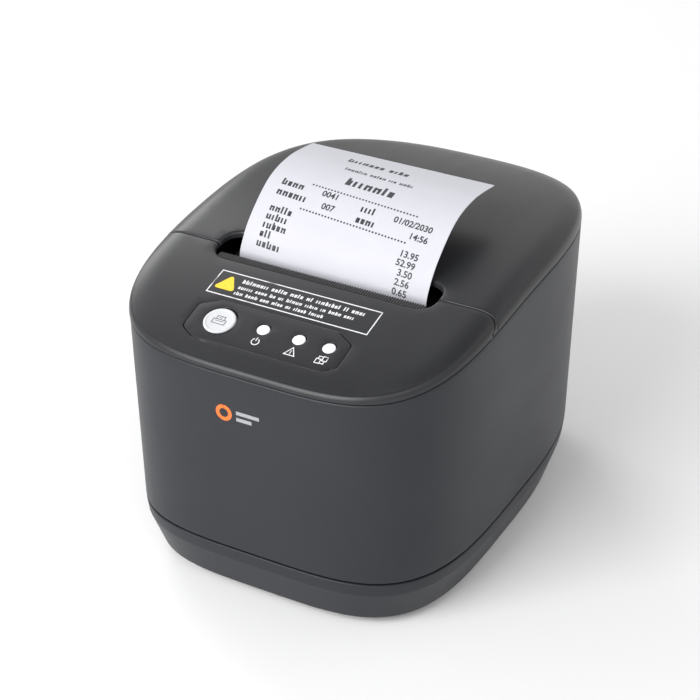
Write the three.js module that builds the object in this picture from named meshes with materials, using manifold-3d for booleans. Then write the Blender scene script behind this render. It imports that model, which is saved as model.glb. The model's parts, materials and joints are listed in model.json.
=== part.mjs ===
// Desktop receipt printer for 80 mm thermal paper, with a drop-in roll under a hinged lid and
// an automatic cutter under a sliding front cover. Millimetres, +Z up, the front faces -Y.
// The origin is the middle of the outline, on the surface that the printer stands on.
import * as THREE from "three";
import { mergeVertices } from "three/addons/utils/BufferGeometryUtils.js";
import Module from "manifold-3d";

const wasm = await Module();
wasm.setup();

// ---------------------------------------------------------------- driving dimensions

const GAP = 0.3; // air between two pieces that touch on the real printer
const WALL = 2.4; // moulded wall
const SEAM = 0.6; // visible joint between two covers

// Plan outline: a superellipse that is squarer at the front than at the rear.
const OUTLINE = { halfWidth: 71, front: 88.7, rear: 100, frontPower: 3.9, rearPower: 2.7, points: 40 };
const MIDDLE_Y = (OUTLINE.front - OUTLINE.rear) / 2; // where the two halves of the outline meet

// Heights of the lower casing, and how far its wall lies inside the outline there.
const BASE = { bottom: 2.6, turn: 4.4, crease: 18.2, top: 23.4, floor: 5 };
const BASE_INSET = { bottom: 8.6, turn: 6.4, crease: 2.1, top: 1.55 };

// Joint between the main casing and the top covers: a parabola in y about the outline's middle.
const JOINT = { middle: 115, slope: 0.0435, sag: 0.0012 };
// Crown of the top covers: its highest point, and how fast it falls to the front and the rear.
const CROWN = { height: 123.3, y: 16.35, frontFall: 0.00157, rearFall: 0.00203 };
// Edge of the top covers: a low upright rim, then a rounded shoulder.
const RIM = { height: 2.9, inset: 0.8, shoulder: 3, shoulderRise: 0.6, crownInset: 10 };

// Joint between the lid and the front cover, with its forward corner at each side.
const LID_EDGE = { y: -36.7, cornerX: 66.2, sideX: 70.2, sideY: -41.1 };
const SLOT = { halfWidth: 46.3, front: -44.7, rear: -27.9, corner: 6.8 };

// The lid turns on two short pins in a barrel at the middle of its rear edge.
const HINGE = { y: 91, z: 101, barrel: 3.3, room: 3.8, halfWidth: 20, pin: 1.2, pinStart: 12 };
const HINGE_EAR = { start: 20.6, end: 23.6, front: 86.5, bottom: 96, top: 104.5 };

// Control panel on the front cover. The tilted frame has its origin on the panel's face.
const PANEL = { y: -75.3, halfDepth: 9.4, left: -34.8, right: 28.8, corner: 5, thickness: 1.2, bed: 1.5 };
const BUTTON = { x: -22.8, radius: 6.2, proud: 0.5, flange: 7.3, rim: 0.6 };
const LENS = { xs: [-5.2, 9.5, 21.8], v: 1.5, radius: 2.45, depth: 4 };
const PANEL_BOARD = { depth: 5.8, thickness: 1.2, halfWidth: 31, x: -3, halfDepth: 6 };

const PLATEN = { y: -25, z: 92, radius: 7, halfWidth: 41, shaft: 2.5, teeth: 20 };
const ROLL = { y: 30, z: 55.4, radius: 28, halfWidth: 39.9, bore: 8.8, core: 8.5, coreBore: 7 };
const WELL = { y: 30, z: 68.5, radius: 41.5, halfWidth: 41.5, skin: 1.5, top: 98, frontTop: 76 };
const DECK = { reach: 61, front: -2, rear: 50, thickness: 2 }; // shelf on each side of the well
const PAPER = { halfWidth: 39.75, thickness: 0.3, cutZ: 101.6, cutGap: 0.7, cutY: -33 };

// Gears all have the same module, and a face width of FACE along x.
const MODULE = 0.8;
const FACE = 4;
const IDLER = { teeth: 30, z: 72, pin: 2 };
const MOTOR_TEETH = 12;
const MOTOR_SHAFT = 1.5;
const MOTOR_ANGLE = (210 * Math.PI) / 180; // from a driven gear towards its motor

const PLATE = { x: 46.5, thickness: 1.2, front: -76, rear: -10, bottom: 27, top: 102.7, step: 96 };
const GEAR_X = 49; // inner face of the gears outside the side plates

const CUTTER = { y: -48, z: 95.2, shaft: 2, teeth: 10, wheelTeeth: 36, pinionX: 38 };
const BLADE = { halfWidth: 42.3, edge: -37, rear: -58, bottom: 101.2, thickness: 0.8, notch: 2.5 };
const HEAD = {
  pivotY: -35,
  pivotZ: 85,
  face: -33,
  bottom: 83,
  top: 97,
  ceramicBottom: 86,
  ceramicTop: 95,
  halfWidth: 43,
  plate: 3.6,
  ceramic: 0.5,
  pin: 1.5,
};

const IO = { y: 70, halfWidth: 41, bottom: 6.2, top: 36, opening: 40 };
const BUZZER = { x: -30, y: -34, radius: 6, height: 7 };
const BOARD = { bottom: 8, thickness: 1.6, halfWidth: 49, front: -55, rear: 69.6, neck: 41, neckY: 56 };

const FEET = [
  { name: "foot_front_left", x: -46, y: -64 },
  { name: "foot_front_right", x: 46, y: -64 },
  { name: "foot_rear_left", x: -42, y: 54 },
  { name: "foot_rear_right", x: 42, y: 54 },
];
const SCREWS = [
  { name: "base_screw_front_left", x: -54, y: -46 },
  { name: "base_screw_front_right", x: 54, y: -46 },
  { name: "base_screw_rear_left", x: -49, y: 38 },
  { name: "base_screw_rear_right", x: 49, y: 38 },
];
const FOOT = { radius: 6.5, height: 2.3, chamfer: 0.6 };
const SCREW = {
  head: 2.9,
  headHeight: 2,
  shank: 1.4,
  headZ: 5.4,
  tip: 36,
  crossArm: 2,
  crossWidth: 0.8,
  crossDepth: 0.9,
};
const BOSS = { radius: 4.5, counterbore: 3.4, hole: 1.8, top: 23.1, web: 2.4, casingTop: 40 };

const SOCKETS = [
  {
    name: "power_inlet",
    x: -30.5,
    width: 13,
    height: 12.5,
    hole: [8.6, 8.6],
    round: true,
    material: "black",
  },
  { name: "usb_socket", x: -12, width: 12, height: 11, hole: [8.4, 7.6], material: "steel" },
  { name: "lan_socket", x: 8, width: 16, height: 13.4, hole: [11.8, 8.4], material: "steel" },
  { name: "drawer_socket", x: 28.5, width: 13.2, height: 12.6, hole: [9.8, 7.4], material: "black" },
];
const SOCKET = { z: 9.9, inner: 56, outer: 73.4, depth: 10 };
const SWITCH = { x: 29, z: 30, width: 14, height: 8, depth: 12, rest: (-8 * Math.PI) / 180 };

const TEAR_BAR = {
  y: -44,
  z: 114.9,
  tilt: 0.286,
  halfWidth: 43.6,
  front: -4.6,
  root: 3.6,
  tip: 4.6,
  teeth: 34,
};

// Cradle of the platen under the lid: two cheeks, a roof, a ledge for the fixed blade and ribs.
const CARRIER = {
  cheekInner: 43.4,
  cheekOuter: 45,
  reach: 6.5,
  drop: 6,
  frontRise: 7,
  rear: 2,
  roofBottom: 108,
  roofTop: 110,
  ledgeHalfWidth: 44,
  ledgeBottom: 103.7,
  ribXs: [-30, 0, 30],
  ribHalfWidth: 1.5,
  ribTop: 117.3,
  bearingHole: 4.3,
};
const BEARING = { radius: 4, length: 4, left: -46.2, right: 42.2 };
const FIXED_BLADE = { halfWidth: 42.9, front: -31.6, rear: -22, bottom: 102.4, top: 103.4 };
const CUTTER_GUIDE = {
  front: -61,
  rear: -41,
  thickness: 1.2,
  windowX: 20,
  windowFront: -56,
  windowRear: -46,
};

// Sheet spring behind the print head, and the bridge of the frame that holds it.
const SPRING = { rear: -43, thickness: 0.6, halfWidth: 32, bottom: 80.8, top: 88, fingerXs: [-24, 0, 24] };
const FINGER = { halfWidth: 4, root: 86, tipY: -38.1, tipZ: 93.6, edgeY: -38.7, edgeZ: 94 };
const BRIDGE = { front: -44.5, rear: -43.3, bottom: 80.2, top: 89.5 };
const TIE = { front: -72, rear: -60 };

const SENSOR = { x: -10, y: -20.5, z: 58, halfWidth: 6, halfDepth: 2.5, halfHeight: 2, tilt: -0.9 };
const STANDOFF = { radius: 3, places: [[-38, -50], [38, -50], [-36, 62], [36, 62]] };
const TACT = { half: 3, bottom: 0.3, top: 0.9, plunger: 1.6, plungerTop: 1.3 };

// ---------------------------------------------------------------- materials

function finish(colour, roughness, metalness = 0) {
  return () => new THREE.MeshStandardMaterial({ color: colour, roughness, metalness });
}

const FINISH = {
  casing: finish(0x4b4d52, 0.45),
  cover: finish(0x55575c, 0.42),
  panel: finish(0x47484c, 0.4),
  black: finish(0x1b1b1d, 0.5),
  rubber: finish(0x1d1d1e, 0.85),
  white: finish(0xe4e5ea, 0.4),
  paper: finish(0xf2f3ff, 0.85),
  card: finish(0xb9a582, 0.9),
  steel: finish(0xb4b6b9, 0.35, 1),
  brass: finish(0xb8964a, 0.35, 1),
  gear: finish(0xe6e2d6, 0.5),
  ceramic: finish(0xdcd7c8, 0.3),
  board: finish(0x1f5c3a, 0.5),
};

// ---------------------------------------------------------------- solids

// A manifold solid from a closed three.js geometry.
function solid(geometry) {
  const bare = geometry.clone();
  bare.deleteAttribute("normal");
  bare.deleteAttribute("uv");
  const merged = mergeVertices(bare, 1e-4);
  const mesh = new wasm.Mesh({
    numProp: 3,
    vertProperties: Float32Array.from(merged.getAttribute("position").array),
    triVerts: Uint32Array.from(merged.index.array),
  });
  return new wasm.Manifold(mesh);
}

function geometryOf(shape) {
  if (shape.isBufferGeometry) return shape;
  const mesh = shape.getMesh();
  const geometry = new THREE.BufferGeometry();
  geometry.setAttribute("position", new THREE.BufferAttribute(mesh.vertProperties, 3));
  geometry.setIndex(new THREE.BufferAttribute(mesh.triVerts, 1));
  geometry.computeVertexNormals();
  return geometry;
}

function piece(name, shape, material) {
  const mesh = new THREE.Mesh(geometryOf(shape), FINISH[material]());
  mesh.name = name;
  return mesh;
}

function polygon(points) {
  return new THREE.Shape(points.map(([u, v]) => new THREE.Vector2(u, v)));
}

function extruded(shape, depth, segments = 12) {
  return new THREE.ExtrudeGeometry(shape, { depth, bevelEnabled: false, curveSegments: segments });
}

// Prisms: the shape is drawn in (x, y) for prismZ, (y, z) for prismX and (x, z) for prismY.
function prismZ(shape, low, high) {
  return extruded(shape, high - low).translate(0, 0, low);
}

function prismX(shape, low, high, segments) {
  const turn = new THREE.Matrix4().makeBasis(
    new THREE.Vector3(0, 1, 0),
    new THREE.Vector3(0, 0, 1),
    new THREE.Vector3(1, 0, 0),
  );
  return extruded(shape, high - low, segments).applyMatrix4(turn).translate(low, 0, 0);
}

function box([x0, x1], [y0, y1], [z0, z1]) {
  const geometry = new THREE.BoxGeometry(x1 - x0, y1 - y0, z1 - z0);
  return geometry.translate((x0 + x1) / 2, (y0 + y1) / 2, (z0 + z1) / 2);
}

function rodX(radius, low, high, y = 0, z = 0, segments = 12) {
  const geometry = new THREE.CylinderGeometry(radius, radius, high - low, segments);
  return geometry.rotateZ(-Math.PI / 2).translate((low + high) / 2, y, z);
}

function rodZ(radius, low, high, x = 0, y = 0, segments = 12) {
  const geometry = new THREE.CylinderGeometry(radius, radius, high - low, segments);
  return geometry.rotateX(Math.PI / 2).translate(x, y, (low + high) / 2);
}

function tubeX(radius, bore, low, high, segments = 24) {
  const ring = new THREE.Shape().absarc(0, 0, radius, 0, 2 * Math.PI, false);
  ring.holes.push(new THREE.Path().absarc(0, 0, bore, 0, 2 * Math.PI, true));
  return prismX(ring, low, high, segments);
}

function roundedRectangle([u0, u1], [v0, v1], radius) {
  const shape = new THREE.Shape();
  shape.moveTo(u0 + radius, v0);
  shape.lineTo(u1 - radius, v0);
  shape.absarc(u1 - radius, v0 + radius, radius, -Math.PI / 2, 0, false);
  shape.absarc(u1 - radius, v1 - radius, radius, 0, Math.PI / 2, false);
  shape.absarc(u0 + radius, v1 - radius, radius, Math.PI / 2, Math.PI, false);
  shape.absarc(u0 + radius, v0 + radius, radius, Math.PI, 1.5 * Math.PI, false);
  return shape;
}

// Solid turned about z from a profile of [radius, height], listed upwards from the axis.
function turned(profile, segments) {
  const points = profile.map(([r, z]) => new THREE.Vector2(r, z));
  return new THREE.LatheGeometry(points, segments).rotateX(Math.PI / 2);
}

function union(shapes) {
  return shapes.map((shape) => (shape.isBufferGeometry ? solid(shape) : shape)).reduce((a, b) => a.add(b));
}

function cut(shape, tools) {
  const start = shape.isBufferGeometry ? solid(shape) : shape;
  return start.subtract(union(tools));
}

// ---------------------------------------------------------------- casing surfaces

function signedPower(value, power) {
  return Math.sign(value) * Math.abs(value) ** power;
}

function outline() {
  const points = [];
  for (let i = 0; i < OUTLINE.points; i += 1) {
    const angle = (2 * Math.PI * i) / OUTLINE.points;
    const front = Math.sin(angle) < 0;
    const power = 2 / (front ? OUTLINE.frontPower : OUTLINE.rearPower);
    const depth = front ? OUTLINE.front : OUTLINE.rear;
    const x = OUTLINE.halfWidth * signedPower(Math.cos(angle), power);
    points.push([x, depth * signedPower(Math.sin(angle), power)]);
  }
  return polygon(points);
}

// Solid through a stack of outlines. A level has a height, fixed or a function of y, and the
// distance that the outline is drawn in there.
function lofted(levels) {
  const steps = levels.length - 1;
  const geometry = new THREE.ExtrudeGeometry(outline(), { depth: steps, steps, bevelEnabled: false });
  const position = geometry.getAttribute("position");
  for (let i = 0; i < position.count; i += 1) {
    const { height, inset } = levels[Math.round(position.getZ(i))];
    const depth = position.getY(i) < 0 ? OUTLINE.front : OUTLINE.rear;
    const x = position.getX(i) * (1 - inset / OUTLINE.halfWidth);
    const y = position.getY(i) * (1 - inset / depth) + MIDDLE_Y;
    position.setXYZ(i, x, y, typeof height === "function" ? height(y) : height);
  }
  return solid(geometry);
}

function jointHeight(y) {
  const v = y - MIDDLE_Y;
  return JOINT.middle + JOINT.slope * v - JOINT.sag * v * v;
}

function crownHeight(y) {
  const v = y - CROWN.y;
  return CROWN.height - (v < 0 ? CROWN.frontFall : CROWN.rearFall) * v * v;
}

// Slab of full width between two heights that are functions of y.
function slab(lower, upper) {
  const steps = 14;
  const reach = 99;
  const ys = Array.from({ length: steps + 1 }, (_, i) => -reach + (2 * reach * i) / steps);
  const below = ys.map((y) => [y, lower(y)]);
  const above = ys.map((y) => [y, upper(y)]).reverse();
  return solid(prismX(polygon([...below, ...above]), -OUTLINE.halfWidth - 5, OUTLINE.halfWidth + 5));
}

// The body of the main casing, drawn in by an offset.
function casingBlock(offset, bottom, top) {
  const inset = (height) => offset + (BASE_INSET.top * (JOINT.middle - height)) / (JOINT.middle - BASE.top);
  return lofted([
    { height: bottom, inset: inset(bottom) },
    { height: top, inset: inset(JOINT.middle) },
  ]);
}

// The body of both top covers, drawn in by an offset on every side but the open bottom.
function coverBlock(offset) {
  const rim = (y) => jointHeight(y) + RIM.height - offset;
  const crown = (y) => crownHeight(y) - offset;
  const shoulder = (y) => rim(y) + RIM.shoulderRise * (crown(y) - rim(y));
  const block = lofted([
    { height: BASE.top, inset: offset },
    { height: jointHeight, inset: offset },
    { height: rim, inset: offset + RIM.inset },
    { height: shoulder, inset: offset + RIM.shoulder },
    { height: (y) => Math.max(crown(y), rim(y)) + 0.1, inset: offset + RIM.crownInset },
    { height: CROWN.height + 5, inset: offset + RIM.crownInset },
  ]);
  const floor = offset > 0 ? () => BASE.top + 1 : (y) => jointHeight(y) + SEAM / 2;
  return block.intersect(slab(floor, crown));
}

// Everything behind the joint between the lid and the front cover, moved forward by a step.
function behindLidEdge(step) {
  const far = 130;
  const shape = new THREE.Shape();
  shape.moveTo(-far, far);
  shape.lineTo(-far, LID_EDGE.sideY - step);
  shape.lineTo(-LID_EDGE.sideX, LID_EDGE.sideY - step);
  shape.quadraticCurveTo(-LID_EDGE.sideX, LID_EDGE.y - step, -LID_EDGE.cornerX, LID_EDGE.y - step);
  shape.lineTo(LID_EDGE.cornerX, LID_EDGE.y - step);
  shape.quadraticCurveTo(LID_EDGE.sideX, LID_EDGE.y - step, LID_EDGE.sideX, LID_EDGE.sideY - step);
  shape.lineTo(far, LID_EDGE.sideY - step);
  shape.lineTo(far, far);
  return solid(extruded(shape, far, 4).translate(0, 0, BASE.top));
}

function slotHole() {
  const shape = roundedRectangle([-SLOT.halfWidth, SLOT.halfWidth], [SLOT.front, SLOT.rear], SLOT.corner);
  return extruded(shape, 60, 5).translate(0, 0, 80);
}

// The lid's hinge barrel and the block above it, or the room they need in the casing.
function hingeBarrel(radius, halfWidth) {
  const block = box([-halfWidth, halfWidth], [HINGE.y - radius, HINGE.y + 10], [HINGE.z, 112]);
  return union([rodX(radius, -halfWidth, halfWidth, HINGE.y, HINGE.z, 20), block]);
}

function pinHole() {
  return rodX(HINGE.pin + GAP, -HINGE_EAR.end - 1, HINGE_EAR.end + 1, HINGE.y, HINGE.z, 10);
}

function hingeEars(block) {
  const { start, end, front, bottom, top } = HINGE_EAR;
  return [-1, 1].map((side) => {
    const across = [side * start, side * end].sort((a, b) => a - b);
    return solid(box(across, [front, OUTLINE.rear], [bottom, top])).intersect(block);
  });
}

// ---------------------------------------------------------------- base

function baseTray() {
  const names = ["bottom", "turn", "crease", "top"];
  const outer = lofted(names.map((name) => ({ height: BASE[name], inset: BASE_INSET[name] })));
  const hollow = lofted([
    { height: BASE.floor, inset: BASE_INSET.turn + WALL + 1 },
    { height: BASE.crease, inset: BASE_INSET.crease + WALL },
    { height: BASE.top + 1, inset: BASE_INSET.top + WALL },
  ]);
  const bosses = SCREWS.map(({ x, y }) => rodZ(BOSS.radius, BASE.floor - 1, BOSS.top, x, y, 12));
  const standoffs = STANDOFF.places.map(([x, y]) =>
    rodZ(STANDOFF.radius, BASE.floor - 1, BOARD.bottom - GAP, x, y, 8),
  );
  const holes = SCREWS.flatMap(({ x, y }) => [
    rodZ(BOSS.hole, 0, BASE.top + 1, x, y, 8),
    rodZ(BOSS.counterbore, 0, SCREW.headZ + SCREW.headHeight + GAP, x, y, 12),
  ]);
  const bay = box([-IO.opening, IO.opening], [IO.y - 4, 100], [IO.bottom + GAP, BASE.top + 2]);
  return cut(union([outer.subtract(hollow), ...bosses, ...standoffs]), [...holes, bay]);
}

function foot() {
  const { radius, height, chamfer } = FOOT;
  return turned([[0, 0], [radius - chamfer, 0], [radius, chamfer], [radius, height], [0, height]], 12);
}

function baseScrew() {
  const head = SCREW.headZ + SCREW.headHeight;
  const shank = rodZ(SCREW.shank, head - 0.5, SCREW.tip, 0, 0, 8);
  const body = union([rodZ(SCREW.head, SCREW.headZ, head), shank]);
  const depth = [0, SCREW.headZ + SCREW.crossDepth];
  const arm = [-SCREW.crossArm, SCREW.crossArm];
  const across = [-SCREW.crossWidth / 2, SCREW.crossWidth / 2];
  return cut(body, [box(arm, across, depth), box(across, arm, depth)]);
}

// The board narrows towards the connectors, and clears the screw bosses at its edges.
function mainBoard() {
  const { bottom, thickness, halfWidth, front, rear, neck, neckY } = BOARD;
  const half = [[halfWidth, front], [halfWidth, neckY - 12], [neck, neckY], [neck, rear]];
  const mirrored = half.map(([x, y]) => [-x, y]).reverse();
  const plate = prismZ(polygon([...half, ...mirrored]), bottom, bottom + thickness);
  return cut(plate, SCREWS.map(({ x, y }) => rodZ(BOSS.radius + 1, 0, 30, x, y, 12)));
}

// ---------------------------------------------------------------- main casing

function mainCasing() {
  const bottom = BASE.top + SEAM;
  const block = casingBlock(0, bottom, 140);
  const shell = block.subtract(casingBlock(WALL, bottom - 2, 141));
  const ribs = SCREWS.map(({ x, y }) => {
    const wall = Math.sign(x) * (OUTLINE.halfWidth - 2);
    const across = [x, wall].sort((a, b) => a - b);
    const web = box(across, [y - BOSS.web / 2, y + BOSS.web / 2], [bottom, BOSS.casingTop]);
    return solid(web).intersect(block);
  });
  const bosses = SCREWS.map(({ x, y }) => rodZ(BOSS.radius, bottom, BOSS.casingTop, x, y, 12));
  const holes = SCREWS.map(({ x, y }) => rodZ(BOSS.hole, 0, SCREW.tip + 1, x, y, 8));
  const above = slab((y) => jointHeight(y) - SEAM / 2, () => 150);
  const bay = box([-IO.opening, IO.opening], [IO.y - 4, 100], [bottom - 1, IO.top - WALL]);
  const hingeRoom = HINGE.halfWidth + SEAM;
  const behind = box([-hingeRoom, hingeRoom], [HINGE.y, OUTLINE.rear], [HINGE.z - HINGE.room, HINGE.z + 1]);
  const body = cut(union([shell, ...ribs, ...bosses]), [hingeBarrel(HINGE.room, hingeRoom), behind]);
  return cut(union([body, ...hingeEars(block)]), [...holes, above, bay, pinHole()]);
}

// ---------------------------------------------------------------- rear connectors

function socket({ width, height, hole, round }) {
  const body = box([-width / 2, width / 2], [SOCKET.inner, SOCKET.outer], [0, height]);
  const mouth = SOCKET.outer - SOCKET.depth;
  const middle = height / 2;
  const cavity = round
    ? new THREE.CylinderGeometry(hole[0] / 2, hole[0] / 2, 20, 20).translate(0, mouth + 10, middle)
    : box([-hole[0] / 2, hole[0] / 2], [mouth, mouth + 20], [middle - hole[1] / 2, middle + hole[1] / 2]);
  return cut(body, [cavity]);
}

// Shallow tray that closes the rear bay; its rim follows the inside of the casing.
function ioPlate() {
  const tray = solid(box([-IO.halfWidth, IO.halfWidth], [IO.y, 100], [IO.bottom, IO.top]));
  const inner = [-IO.halfWidth + 1.2, IO.halfWidth - 1.2];
  const hollow = box(inner, [IO.y + 1.2, 101], [IO.bottom + 1, IO.top - 1.2]);
  const windows = SOCKETS.map(({ x, width, height }) =>
    box([x - width / 2 - GAP, x + width / 2 + GAP], [60, 80], [SOCKET.z - GAP, SOCKET.z + height + GAP]),
  );
  const switchHole = box(
    [SWITCH.x - SWITCH.width / 2 - GAP, SWITCH.x + SWITCH.width / 2 + GAP],
    [60, 80],
    [SWITCH.z - SWITCH.height / 2 - GAP, SWITCH.z + SWITCH.height / 2 + GAP],
  );
  const room = lofted([
    { height: BASE.floor - 1, inset: BASE_INSET.turn + WALL + 1.6 },
    { height: BASE.crease, inset: BASE_INSET.crease + WALL + 0.5 },
    { height: BASE.top, inset: BASE_INSET.top + WALL + 0.5 },
    { height: IO.top + 2, inset: BASE_INSET.top + WALL + 0.5 },
  ]);
  return cut(tray, [hollow, ...windows, switchHole]).intersect(room);
}

function switchHousing() {
  const half = [SWITCH.width / 2, SWITCH.height / 2];
  const body = box([-half[0], half[0]], [-SWITCH.depth, 1.6], [-half[1], half[1]]);
  const well = box([-half[0] + 1.2, half[0] - 1.2], [-4.5, 5], [-half[1] + 1.2, half[1] - 1.2]);
  return cut(body, [well]);
}

// Rocker seen along its pivot, which runs up the printer: two faces at a shallow angle.
function rocker() {
  const reach = SWITCH.width / 2 - 1.9;
  const high = SWITCH.height / 2 - 1.6;
  const bottom = reach - 1.4;
  const shape = polygon([[-bottom, -1.8], [bottom, -1.8], [reach, 2.6], [0, 1.8], [-reach, 2.6]]);
  return prismZ(shape, -high, high);
}

// ---------------------------------------------------------------- paper well and roll

// Line that touches the roll and the platen on their lower front sides.
function webTangent(rollRadius, platenRadius) {
  const dy = PLATEN.y - ROLL.y;
  const dz = PLATEN.z - ROLL.z;
  const distance = Math.hypot(dy, dz);
  const along = Math.atan2(dz, dy);
  const angle = along + Math.acos((rollRadius - platenRadius) / distance);
  const normal = [Math.cos(angle), Math.sin(angle)];
  return {
    angle,
    roll: [ROLL.y + rollRadius * normal[0], ROLL.z + rollRadius * normal[1]],
    platen: [PLATEN.y + platenRadius * normal[0], PLATEN.z + platenRadius * normal[1]],
  };
}

// Cross-section of the well in (y, z), drawn out by a skin; its front wall runs under the paper.
function wellSection(skin, top) {
  const radius = WELL.radius + skin;
  const { angle, roll, platen } = webTangent(ROLL.radius, PLATEN.radius);
  const lift = 3 + skin;
  const slope = (platen[1] - roll[1]) / (platen[0] - roll[0]);
  const base = [roll[0] + lift * Math.cos(angle), roll[1] + lift * Math.sin(angle)];
  const front = [base[0] + (WELL.frontTop - base[1]) / slope, WELL.frontTop];
  const shape = new THREE.Shape();
  shape.moveTo(front[0], front[1]);
  shape.lineTo(WELL.y + radius * Math.cos(angle), WELL.z + radius * Math.sin(angle));
  shape.absarc(WELL.y, WELL.z, radius, angle, 2 * Math.PI, false);
  shape.lineTo(WELL.y + radius, top);
  shape.lineTo(front[0], top);
  return shape;
}

function paperWell() {
  const { skin, halfWidth, top } = WELL;
  const outer = solid(prismX(wellSection(skin, top), -halfWidth - skin, halfWidth + skin, 20));
  const inner = prismX(wellSection(0, top + 20), -halfWidth, halfWidth, 20);
  const mouth = box([-60, 60], [-60, -4], [WELL.frontTop, 130]);
  const deck = [-1, 1].map((side) => {
    const edges = [side * (halfWidth + 0.5), side * DECK.reach].sort((a, b) => a - b);
    return box(edges, [DECK.front, DECK.rear], [top - DECK.thickness, top]);
  });
  return cut(union([outer.subtract(solid(inner)), ...deck]), [mouth]);
}

function paperRoll() {
  return tubeX(ROLL.radius, ROLL.bore, -ROLL.halfWidth, ROLL.halfWidth, 16);
}

// Ribbon of paper along a chain of (y, z) points, as wide as the roll.
function ribbon(points) {
  const half = PAPER.thickness / 2;
  const sides = points.map((point, i) => {
    const before = points[Math.max(i - 1, 0)];
    const after = points[Math.min(i + 1, points.length - 1)];
    const length = Math.hypot(after[0] - before[0], after[1] - before[1]);
    const normal = [-(after[1] - before[1]) / length, (after[0] - before[0]) / length];
    return [1, -1].map((side) => [point[0] + side * half * normal[0], point[1] + side * half * normal[1]]);
  });
  const left = sides.map(([a]) => a);
  const right = sides.map(([, b]) => b).reverse();
  return prismX(polygon([...left, ...right]), -PAPER.halfWidth, PAPER.halfWidth);
}

// Paper from the roll, round the front of the platen and up to the cutting line.
function paperWeb() {
  const clear = PAPER.thickness / 2 + 0.2;
  const { angle, roll, platen } = webTangent(ROLL.radius + clear, PLATEN.radius + clear);
  const radius = PLATEN.radius + clear;
  const start = angle < 0 ? angle + 2 * Math.PI : angle;
  const arc = [0.25, 0.5, 0.75, 1].map((t) => {
    const a = start + t * (Math.PI - start);
    return [PLATEN.y + radius * Math.cos(a), PLATEN.z + radius * Math.sin(a)];
  });
  return ribbon([roll, platen, ...arc, [PAPER.cutY, PAPER.cutZ - PAPER.cutGap]]);
}

// Printed receipt: up from the cutting line, through the slot, and curled back over the lid.
const RECEIPT_ROUTE = [
  [PAPER.cutY, PAPER.cutZ + PAPER.cutGap],
  [-33.7, 110],
  [-32, 117],
  [-24.6, 126.3],
  [-10.2, 136],
  [5.5, 138.6],
  [23.3, 136.5],
];

function receiptStrip() {
  const curve = new THREE.SplineCurve(RECEIPT_ROUTE.map(([y, z]) => new THREE.Vector2(y, z)));
  return ribbon(curve.getPoints(24).map((point) => [point.x, point.y]));
}

// ---------------------------------------------------------------- gears

function pitchRadius(teeth) {
  return (teeth * MODULE) / 2;
}

// Spur gear with a tooth centred at the phase angle, in (y, z).
function gear(teeth, bore, phase, low, high) {
  const radius = pitchRadius(teeth);
  const pitch = (2 * Math.PI) / teeth;
  const flank = [[-0.27, -1.2], [-0.12, 0.9], [0.12, 0.9], [0.27, -1.2]];
  const points = [];
  for (let i = 0; i < teeth; i += 1) {
    for (const [across, rise] of flank) {
      const angle = phase + (i + across) * pitch;
      const r = radius + rise * MODULE;
      points.push([r * Math.cos(angle), r * Math.sin(angle)]);
    }
  }
  const shape = polygon(points);
  if (bore > 0) shape.holes.push(new THREE.Path().absarc(0, 0, bore, 0, 2 * Math.PI, true));
  return prismX(shape, low, high, 6);
}

function gearOnShaft(teeth, phase, [low, high], shaft, [start, end]) {
  return union([gear(teeth, 0, phase, low, high), rodX(shaft, start, end, 0, 0, 12)]);
}

// ---------------------------------------------------------------- mechanism

const FEED_MOTOR = {
  y: PLATEN.y + pitchRadius(IDLER.teeth + MOTOR_TEETH) * Math.cos(MOTOR_ANGLE),
  z: IDLER.z + pitchRadius(IDLER.teeth + MOTOR_TEETH) * Math.sin(MOTOR_ANGLE),
  radius: 16,
  length: 22,
};
const CUTTER_MOTOR = {
  y: CUTTER.y + pitchRadius(CUTTER.wheelTeeth + MOTOR_TEETH) * Math.cos(MOTOR_ANGLE),
  z: CUTTER.z + pitchRadius(CUTTER.wheelTeeth + MOTOR_TEETH) * Math.sin(MOTOR_ANGLE),
  radius: 10,
  length: 26,
};

function motor({ radius, length }) {
  const profile = [[0, 0], [radius - 1, 0], [radius, 1], [radius, length], [0, length]];
  return new THREE.LatheGeometry(profile.map(([r, x]) => new THREE.Vector2(r, x)), 20);
}

function mechanismFrame() {
  const { x, thickness, front, rear, bottom, top, step } = PLATE;
  const section = polygon([
    [front, bottom],
    [rear, bottom],
    [rear, 78],
    [PLATEN.y + 9, top - 6],
    [PLATEN.y + 9, top],
    [-62, top],
    [-62, step],
    [front, step],
  ]);
  const sides = [prismX(section, -x - thickness, -x), prismX(section, x, x + thickness)];
  const across = [-x - 0.5, x + 0.5];
  const bridge = box(across, [BRIDGE.front, BRIDGE.rear], [BRIDGE.bottom, BRIDGE.top]);
  const tie = box(across, [TIE.front, TIE.rear], [bottom, bottom + thickness]);
  const notch = PLATEN.shaft + 0.7;
  const tools = [
    box([-60, 60], [PLATEN.y - notch, PLATEN.y + notch], [PLATEN.z, 120]),
    rodX(notch, -60, 60, PLATEN.y, PLATEN.z, 16),
    rodX(IDLER.pin + GAP, 40, 60, PLATEN.y, IDLER.z, 16),
    rodX(4, 40, 60, FEED_MOTOR.y, FEED_MOTOR.z, 16),
    rodX(4, -60, -40, CUTTER_MOTOR.y, CUTTER_MOTOR.z, 16),
    rodX(CUTTER.shaft + GAP, -60, 60, CUTTER.y, CUTTER.z, 16),
    rodX(HEAD.pin + 2 * GAP, -60, 60, HEAD.pivotY, HEAD.pivotZ, 16),
  ];
  return cut(union([...sides, bridge, tie]), tools);
}

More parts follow.
